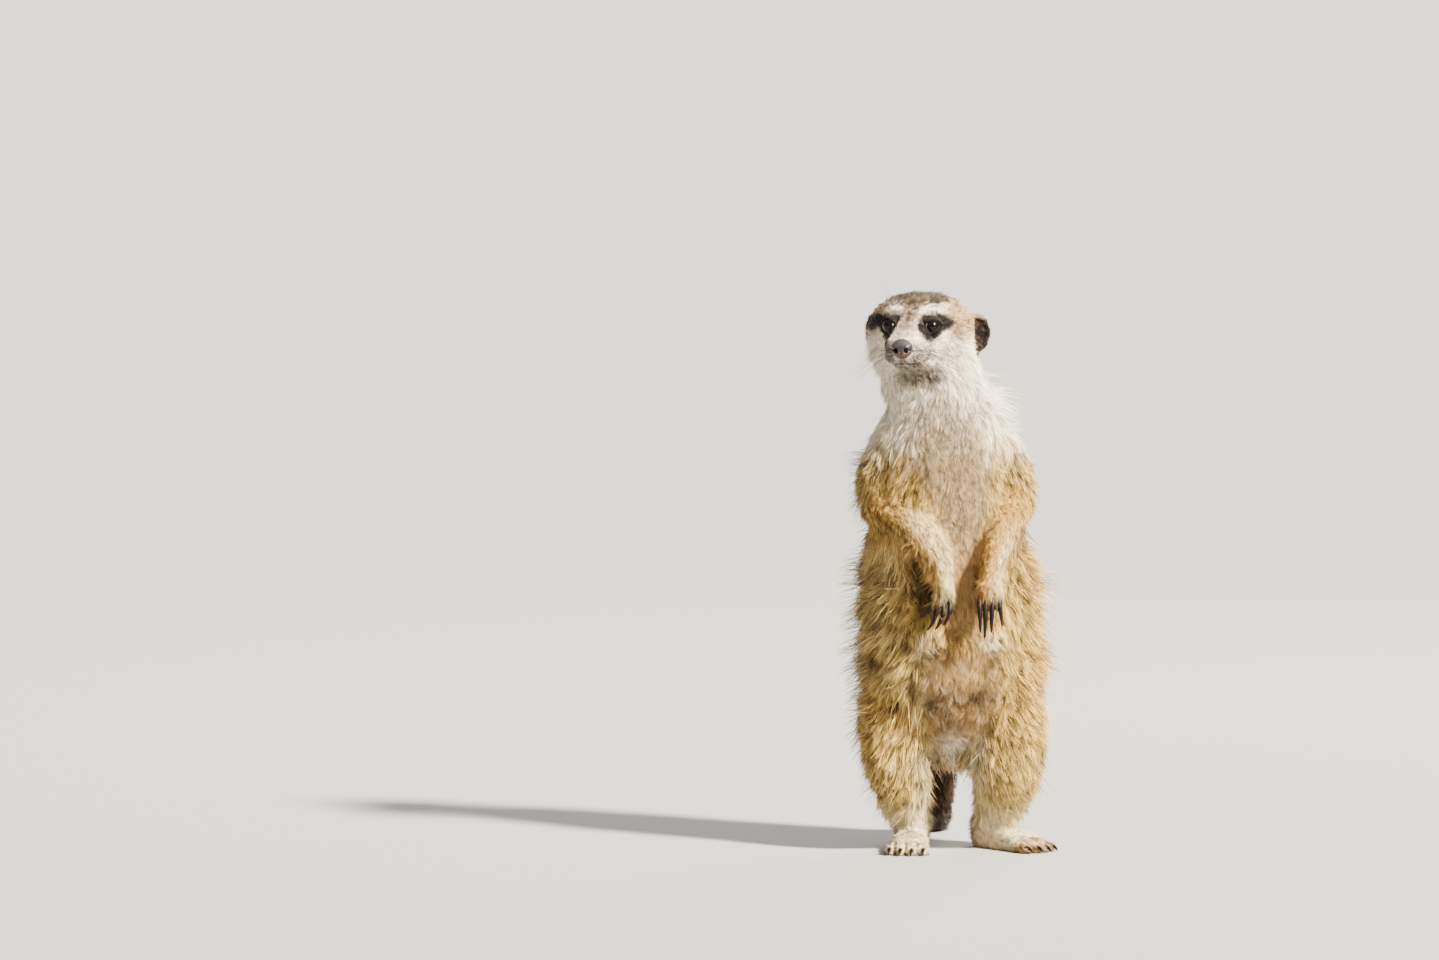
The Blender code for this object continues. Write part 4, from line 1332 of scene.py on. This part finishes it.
# Each coat piece: how many tufts to each of COAT's, the share that bend, how far the tufts of
# a lock meet at their tips, how many make a lock, and what else differs from the usual comb.
BACK = (1.35, 0.12, 0.55, 9, {})
ARM = (2.05, 0.12, 0.52, 8, {"half": 0.8})
LEG = (2.0, 0.12, 0.56, 10, {"swirl": 0.28, "half": 0.78})
PLAN = {
    "face": (1.7, 0.0, 0.3, 6, {"swirl": 0.14, "droop": 0.6, "stray": 0.3}),
    "head": (1.2, 0.15, 0.45, 8, {}),
    "ear": (1.0, 0.0, 0.2, 5, {"swirl": 0.3}),
    "neck": (1.95, 0.12, 0.5, 9, {"swirl": 0.3, "half": 0.85}),
    "chest_front": (2.2, 0.12, 0.42, 8, {"half": 0.8}),
    "chest_back": BACK,
    "belly_front": (2.55, 0.12, 0.56, 12, {"swirl": 0.34, "stray": 0.34, "half": 0.74}),
    "belly_back": BACK,
    "arm_right": ARM,
    "arm_left": ARM,
    "leg_right": LEG,
    "leg_left": LEG,
    "paws": (1.25, 0.0, 0.3, 6, {"droop": 0.7, "stray": 0.2}),
    "tail": (1.1, 0.2, 0.5, 12, {}),
}
GUARD_SHARE = 0.15


def clear_of_face(points):
    """Leaves free the lids' opening, the nose and the mouth's line."""
    free = np.ones(len(points), bool)
    for sign in (-1, 1):
        gap, size, _ = lid_gap(points, sign)
        free &= (gap > 0.75) | (size > 8)
    head = head_frame(points)
    nose = (head - NOSE_CENTRE) / np.array((5.9, 4.6, 5.6))
    free &= (nose**2).sum(1) > 1.04
    _, forward, up = head.T
    return free & ((np.abs(up - lip_at(forward) - 0.3) > 0.9) | (forward < 20))


def make_coat(skin):
    rng = np.random.default_rng(COAT_SEED)
    material = coat_material()
    centres = skin["points"][skin["faces"]].mean(1)
    piece = pieces_of(skin["owner"][skin["faces"][:, 0]], centres)
    made = []
    for name, (share, bent, clump, lock_size, extra) in PLAN.items():
        spots = roots_on(skin, piece == name, rng, share)
        spots = kept(spots, clear_of_face(spots["points"]))
        made.append(grow("coat_" + name, spots, rng, material, bent, clump, lock_size, extra))
    furred = [name for name in PLAN if name not in ("face", "ear", "paws", "tail")]
    guard = roots_on(skin, np.isin(piece.astype(str), furred), rng, GUARD_SHARE)
    fields, (x, _, z) = guard["fields"], guard["points"].T
    chance = ramp(fields[:, 1], 4.6, 8.5) * (0.30 + 0.75 * ramp(fields[:, 2], 26, 40))
    chance = chance * ramp(z, 276, 250)
    chance = chance * np.where((z > 222) & (x < 4), 0.25, 1.0)
    guard = kept(guard, rng.uniform(size=len(chance)) < chance)
    extra = {"length": 1.5, "lift": 1.35, "half": 0.6, "droop": 0.85, "swirl": 0.3}
    kinds = ("long", "spike")
    made.append(grow("coat_guard_hairs", guard, rng, material, 1.0, 0.25, 6, extra, kinds))
    return made


# --- Eyes, nose, claws, whiskers -------------------------------------------------------


def turned_form(rows, turns, radius_at, centre):
    """A closed surface round a centre; radius_at gives points for polar and round angles."""
    polar = np.linspace(0, math.pi, rows + 1)[1:-1]
    around = np.linspace(0, 2 * math.pi, turns, endpoint=False)
    grid_p, grid_a = np.meshgrid(polar, around, indexing="ij")
    angles = np.stack([grid_p.ravel(), grid_a.ravel()], 1)
    angles = np.concatenate([[[0, 0]], angles, [[math.pi, 0]]])
    points = radius_at(angles)
    faces = []
    last = len(angles) - 1
    for k in range(turns):
        nxt = (k + 1) % turns
        faces.append((0, 1 + k, 1 + nxt))
        base = 1 + (rows - 2) * turns
        faces.append((base + k, last, base + nxt))
        for row in range(rows - 2):
            a, b = 1 + row * turns + k, 1 + row * turns + nxt
            faces.append((a, a + turns, b + turns))
            faces.append((a, b + turns, b))
    faces = np.array(faces)
    a, b, c = points[faces[0]] - centre
    return points, faces[:, ::-1] if np.dot(np.cross(a, b), c) < 0 else faces


PUPIL_OUT, PUPIL_UP = 0.16, 0.09
WHISKER_SEED = 21
NOSE_HALF = (5.7, 3.9, 5.3)


def make_eye(side, material):
    sign = SIGN[side]
    centre, out, lift, gaze = eye_frame(sign)

    def shape(angles):
        polar, around = angles.T
        off = np.sin(polar)
        front = np.cos(polar) > 0
        bulge = np.where(front, 0.42 * np.clip(1 - (off / IRIS) ** 2, 0, None), 0)
        size = EYE_RADIUS + bulge
        local = np.stack([off * np.cos(around), off * np.sin(around), np.cos(polar)], 1)
        return centre + (local @ np.stack([out, lift, gaze])) * size[:, None]

    points, faces = turned_form(80, 72, shape, centre)
    rays = unit(points - centre)
    outward, upward = rays @ out - PUPIL_OUT, rays @ lift - PUPIL_UP
    off = np.where(rays @ gaze > 0, np.hypot(outward, upward), 1.0)
    around = np.arctan2(upward, outward)
    pupil = np.hypot(outward / 0.42, upward / 0.34)
    paint = Paint(points, (58, 40, 30))
    fibres = np.sin(around * 23 + np.sin(around * 7) * 3) * 0.5 + 0.5
    paint((88, 64, 46), fibres * ramp(off, 0.3, 0.5) * ramp(off, 0.70, 0.58) * 0.7)
    paint((4, 3, 3), ramp(pupil, 1.1, 0.9))
    paint((14, 9, 8), ramp(off, IRIS - 0.07, IRIS - 0.02))
    # Painted reflection: a thin pale ring just outside the iris.
    paint((186, 174, 162), ramp(off, IRIS - 0.01, IRIS + 0.03))
    paint((60, 40, 34), ramp(off, IRIS + 0.07, IRIS + 0.12))
    obj = painted("eyeball_" + side, points, faces, paint.colour, material)
    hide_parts("eye_" + side)
    return obj


def make_nose(material):
    def shape(angles):
        polar, around = angles.T
        left = np.sin(polar) * np.cos(around)
        up = np.sin(polar) * np.sin(around)
        ahead = np.cos(polar)
        wide = NOSE_HALF[0] * (1 + 0.10 * up)
        size = np.stack([left * wide, ahead * NOSE_HALF[1], up * NOSE_HALF[2]], 1)
        size[:, 1] -= 0.5 * ramp(up, 0.3, 0.9) * ramp(ahead, -0.2, 0.5)
        for sign in (-1, 1):
            pit = np.hypot((left - sign * 0.46) / 0.20, (up + 0.12) / 0.26)
            slit_middle = -0.16 + 0.30 * (left * sign - 0.55)
            slit = np.hypot((left - sign * 0.74) / 0.24, (up - slit_middle) / 0.10)
            hollow = np.maximum(2.4 * ramp(pit, 1.15, 0.5), 1.3 * ramp(slit, 1.2, 0.4))
            size -= np.stack([left * 0.35 * hollow, hollow, 0 * hollow], 1) * (ahead > 0)[:, None]
            wing = np.hypot((left - sign * 0.55) / 0.3, (up - 0.28) / 0.22)
            size[:, 1] += 0.45 * ramp(wing, 1.2, 0.2) * (ahead > 0)
        groove = hill(left / 0.07) * ramp(up, 0.1, -0.4) * (ahead > 0)
        size[:, 1] -= 0.7 * groove
        return in_head(NOSE_CENTRE + size)

    points, faces = turned_form(64, 72, shape, in_head(NOSE_CENTRE)[0])
    local = (head_frame(points) - NOSE_CENTRE) / np.array(NOSE_HALF)
    left, ahead, up = local.T
    rough = waves(points, 1.6, 41)
    paint = Paint(points, (92, 86, 86))
    paint((132, 124, 124), ramp(up, 0.1, 0.8) * 0.6)
    mottle = waves(points, 0.9, 43)
    sandy = ramp(up + 0.22 * rough, 0.05, -0.4) * ramp(np.abs(left), 0.95, 0.6)
    paint((116, 88, 70), sandy * (0.7 + 0.25 * rough))
    paint((50, 40, 36), ramp(rough, 0.0, 0.5) * sandy * 0.85)
    paint((188, 152, 108), ramp(mottle, 0.3, 0.7) * sandy * 0.7)
    paint((60, 50, 50), ramp(np.hypot(left, up), 0.86, 0.98) * 0.5)
    for sign in (-1, 1):
        pit = np.hypot((left - sign * 0.46) / 0.24, (up + 0.12) / 0.28)
        slit = np.hypot((left - sign * 0.72) / 0.26, (up + 0.14) / 0.10)
        paint((14, 10, 10), ramp(np.minimum(pit, slit), 1.15, 0.6) * (ahead > -0.3))
    obj = painted("nose_pad", points, faces, paint.colour, material)
    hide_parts("nose")
    return obj


def tube(line, radii, sides):
    """A closed tapering tube: its points, triangles and each point's place from 0 to 1."""
    line = np.asarray(line, float)
    steps = len(line)
    way = unit(np.gradient(line, axis=0))
    side = unit(np.cross(way, np.array((0.31, 0.2, 0.93)) + 0 * way))
    other = np.cross(way, side)
    turn = np.linspace(0, 2 * math.pi, sides, endpoint=False)
    c, s = np.cos(turn)[None, :, None], np.sin(turn)[None, :, None]
    ring = side[:, None] * c + other[:, None] * s
    points = line[:, None] + ring * np.asarray(radii)[:, None, None]
    points = np.concatenate([points.reshape(-1, 3), line[:1], line[-1:]])
    faces = []
    first, last = steps * sides, steps * sides + 1
    for k in range(sides):
        nxt = (k + 1) % sides
        faces.append((first, nxt, k))
        faces.append((last, (steps - 1) * sides + k, (steps - 1) * sides + nxt))
        for row in range(steps - 1):
            a, b = row * sides + k, row * sides + nxt
            faces.append((a, b, b + sides))
            faces.append((a, b + sides, a + sides))
    place = np.concatenate([np.repeat(np.linspace(0, 1, steps), sides), [0, 1]])
    return points, np.array(faces), place


def make_claw(name, material):
    """A smooth curved horn through the cuts of its solid."""
    corners, way, _ = claw_corners(name)
    t = (corners - corners.mean(0)) @ way
    t = (t - t.min()) / (t.max() - t.min())
    inner = (t > 0.03) & (t < 0.97)
    curves = [np.polyfit(t[inner], corners[inner, axis], 2) for axis in range(3)]
    place = np.linspace(-0.14 if "front" in name else -0.05, 1, 18)
    line = np.stack([np.polyval(curve, place) for curve in curves], 1)
    near = np.stack([np.polyval(curve, t) for curve in curves], 1)
    gap = np.linalg.norm(corners - near, axis=1)
    fit = np.polyfit(t[inner], gap[inner], 1)
    blunt = np.minimum(1, np.sqrt(np.clip((1.02 - place) * 9, 0, 1)))
    radii = np.clip(np.polyval(fit, place), 0.22, None) * blunt
    radii[:3] *= (0.5, 0.75, 0.9)
    if "front_claw_right" in name:
        line += np.array((1.9, 0.0, -0.5)) * np.maximum(4 * place * (1 - place), 0)[:, None]
    if "hind" in name:
        radii *= 1.15
    points, faces, place = tube(line, radii, 14)
    points[:, 2] = np.maximum(points[:, 2], 0.02)
    paint = Paint(points, (96, 74, 58))
    paint((58, 43, 34), ramp(place, 0.1, 0.6))
    brown = 1.0 if name == "front_claw_left_4" else 0.4
    paint((124, 84, 54), ramp(place, 0.6, 1.0) * brown)
    obj = painted(name + "_horn", points, faces, paint.colour, material)
    face_outward(obj.data)
    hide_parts(name)
    return obj


def make_whiskers(material):
    rng = np.random.default_rng(WHISKER_SEED)
    points, faces, tones = [], [], []
    total = 0
    beds = [
        ((9.3, 33.5 - 2.4 * k, -9.5 - 1.4 * row), 17 + 3.4 * k + 2 * row, row)
        for row in range(3)
        for k in range(4)
    ]
    brows = [((9.5 + 2 * k, 12 - k, 13.0), 13 + 2 * k, -3) for k in range(3)]
    for sign in (-1, 1):
        for (side, ahead, up), length, row in beds + brows:
            start = np.array((side, ahead, up)) + rng.normal(size=3) * 0.3
            sweep, drop = 0.08 * rng.normal(), 0.08 * rng.normal()
            way = np.array((0.92, -0.25 + sweep, -0.12 - 0.16 * row + drop))
            if row < 0:
                way = np.array((0.45, -0.15, 0.85)) + 0.1 * rng.normal(size=3)
            way /= np.linalg.norm(way)
            t = np.linspace(0, 1, 8)[:, None]
            bend = np.array((0, -0.22, -0.18)) * length
            line = start + way * length * t + bend * t**2
            line[:, 0] = line[:, 0] * sign
            line[0] = line[0] * np.array((0.86, 0.97, 1.0))
            tubed = tube(in_head(line), 0.13 * (1 - 0.85 * t[:, 0]), 3)
            points.append(tubed[0])
            faces.append(tubed[1] + total)
            total += len(tubed[0])
            paint = Paint(tubed[0], (64, 54, 48))
            paint((150, 130, 112), tubed[2])
            tones.append(paint.colour)
    points, faces, tones = (np.concatenate(parts) for parts in (points, faces, tones))
    obj = painted("whiskers", points, faces, tones, material)
    face_outward(obj.data)
    return obj


# --- Studio ----------------------------------------------------------------------------


FLOOR_RADIUS, FLOOR_SIDES = 24, 64
SKY_STRENGTH = 0.66
SUN_STRENGTH = 28.0
SUN_WAY = (-1.0, 0.82, -0.98)
LAMP_TARGET = Vector((0, 0, 0.16))
CAMERA_DISTANCE = 6.0
CAMERA_TILT = math.radians(4.5)
CAMERA_RISE = 0.20034
VIEW_WIDTH = 0.76267
SENSOR_MM = 36


def hung(name, data, place, way):
    """A lamp or camera at a place, looking along a way."""
    obj = bpy.data.objects.new(name, data)
    obj.location = place
    obj.rotation_euler = Vector(way).to_track_quat("-Z", "Y").to_euler()
    bpy.context.scene.collection.objects.link(obj)
    return obj


def make_studio():
    floor = bpy.data.meshes.new("studio_floor")
    turns = [2 * math.pi * step / FLOOR_SIDES for step in range(FLOOR_SIDES)]
    corners = [(FLOOR_RADIUS * math.cos(turn), FLOOR_RADIUS * math.sin(turn), 0) for turn in turns]
    floor.from_pydata(corners, [], [list(range(FLOOR_SIDES))])
    material = bpy.data.materials.new("studio_floor")
    material.use_nodes = True
    shader = material.node_tree.nodes["Principled BSDF"]
    set_inputs(shader, Roughness=0.85, Base_Color=(0.34, 0.332, 0.32, 1))
    placed("studio_floor", floor, material)
    world = bpy.data.worlds.new("studio")
    bpy.context.scene.world = world
    world.use_nodes = True
    sky = world.node_tree.nodes["Background"]
    set_inputs(sky, Color=(0.97, 0.97, 1.0, 1), Strength=SKY_STRENGTH)
    sun = bpy.data.lights.new("key", "SUN")
    sun.energy = SUN_STRENGTH
    sun.angle = math.radians(6)
    sun.color = (1.0, 0.93, 0.82)
    hung("key", sun, (0, 0, 0), SUN_WAY)
    for name, place, size, power, colour in (
        ("fill", (-1.1, -0.9, 0.55), 0.9, 1, (0.95, 0.97, 1.0)),
        ("rim", (0.5, 1.0, 1.0), 0.6, 22, (1.0, 0.94, 0.84)),
    ):
        light = bpy.data.lights.new(name, "AREA")
        light.size = size
        light.energy = power
        light.color = colour
        hung(name, light, place, LAMP_TARGET - Vector(place))


def make_camera():
    """A long lens, a little above the animal's middle, with room for what stood beside it."""
    look = Vector((0, math.cos(CAMERA_TILT), -math.sin(CAMERA_TILT)))
    up = Vector((0, math.sin(CAMERA_TILT), math.cos(CAMERA_TILT)))
    aim = Vector(to_row(np.array((-122.17, -38.0, 0.0)))) + up * CAMERA_RISE
    camera = bpy.data.cameras.new("camera")
    camera.sensor_width = SENSOR_MM
    camera.lens = SENSOR_MM * CAMERA_DISTANCE / VIEW_WIDTH
    camera.clip_end = 30
    obj = hung("camera", camera, aim - look * CAMERA_DISTANCE, look)
    bpy.context.scene.camera = obj


# --- The whole -------------------------------------------------------------------------


def main():
    skin = make_skin()
    colour, grizzle = markings(skin["points"], skin["kinds"])
    furry = ramp(skin["fields"][:, 1], 2.5, 8)
    colour = colour * (0.88 - (0.18 + 0.34 * np.clip(grizzle, 0, 1)) * furry)[:, None]
    for sign in (-1, 1):
        gap, size, _ = lid_gap(skin["points"], sign)
        colour = mixed(colour, tint(92, 82, 76), ramp(gap, 2.4, 1.4) * (size < 8) * 0.7)
        colour = mixed(colour, tint(26, 20, 18), ramp(gap, 0.75, 0.35) * (size < 8))
    body = painted("skin", skin["points"], skin["faces"], colour, skin_material())
    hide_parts(*FLESH)
    print("skin", len(skin["faces"]), "triangles", flush=True)
    pieces = [body]
    for piece in make_coat(skin):
        pieces.append(piece)
    eye = eye_material()
    pieces += [make_eye(side, eye) for side in SIDES]
    pieces.append(make_nose(nose_material()))
    horn = claw_material()
    pieces += [make_claw(name, horn) for name in sorted(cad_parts) if "claw" in name]
    whiskers = make_whiskers(whisker_material())
    pieces.append(whiskers)
    for piece in pieces:
        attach(piece, "root")
    make_studio()
    make_camera()


main()
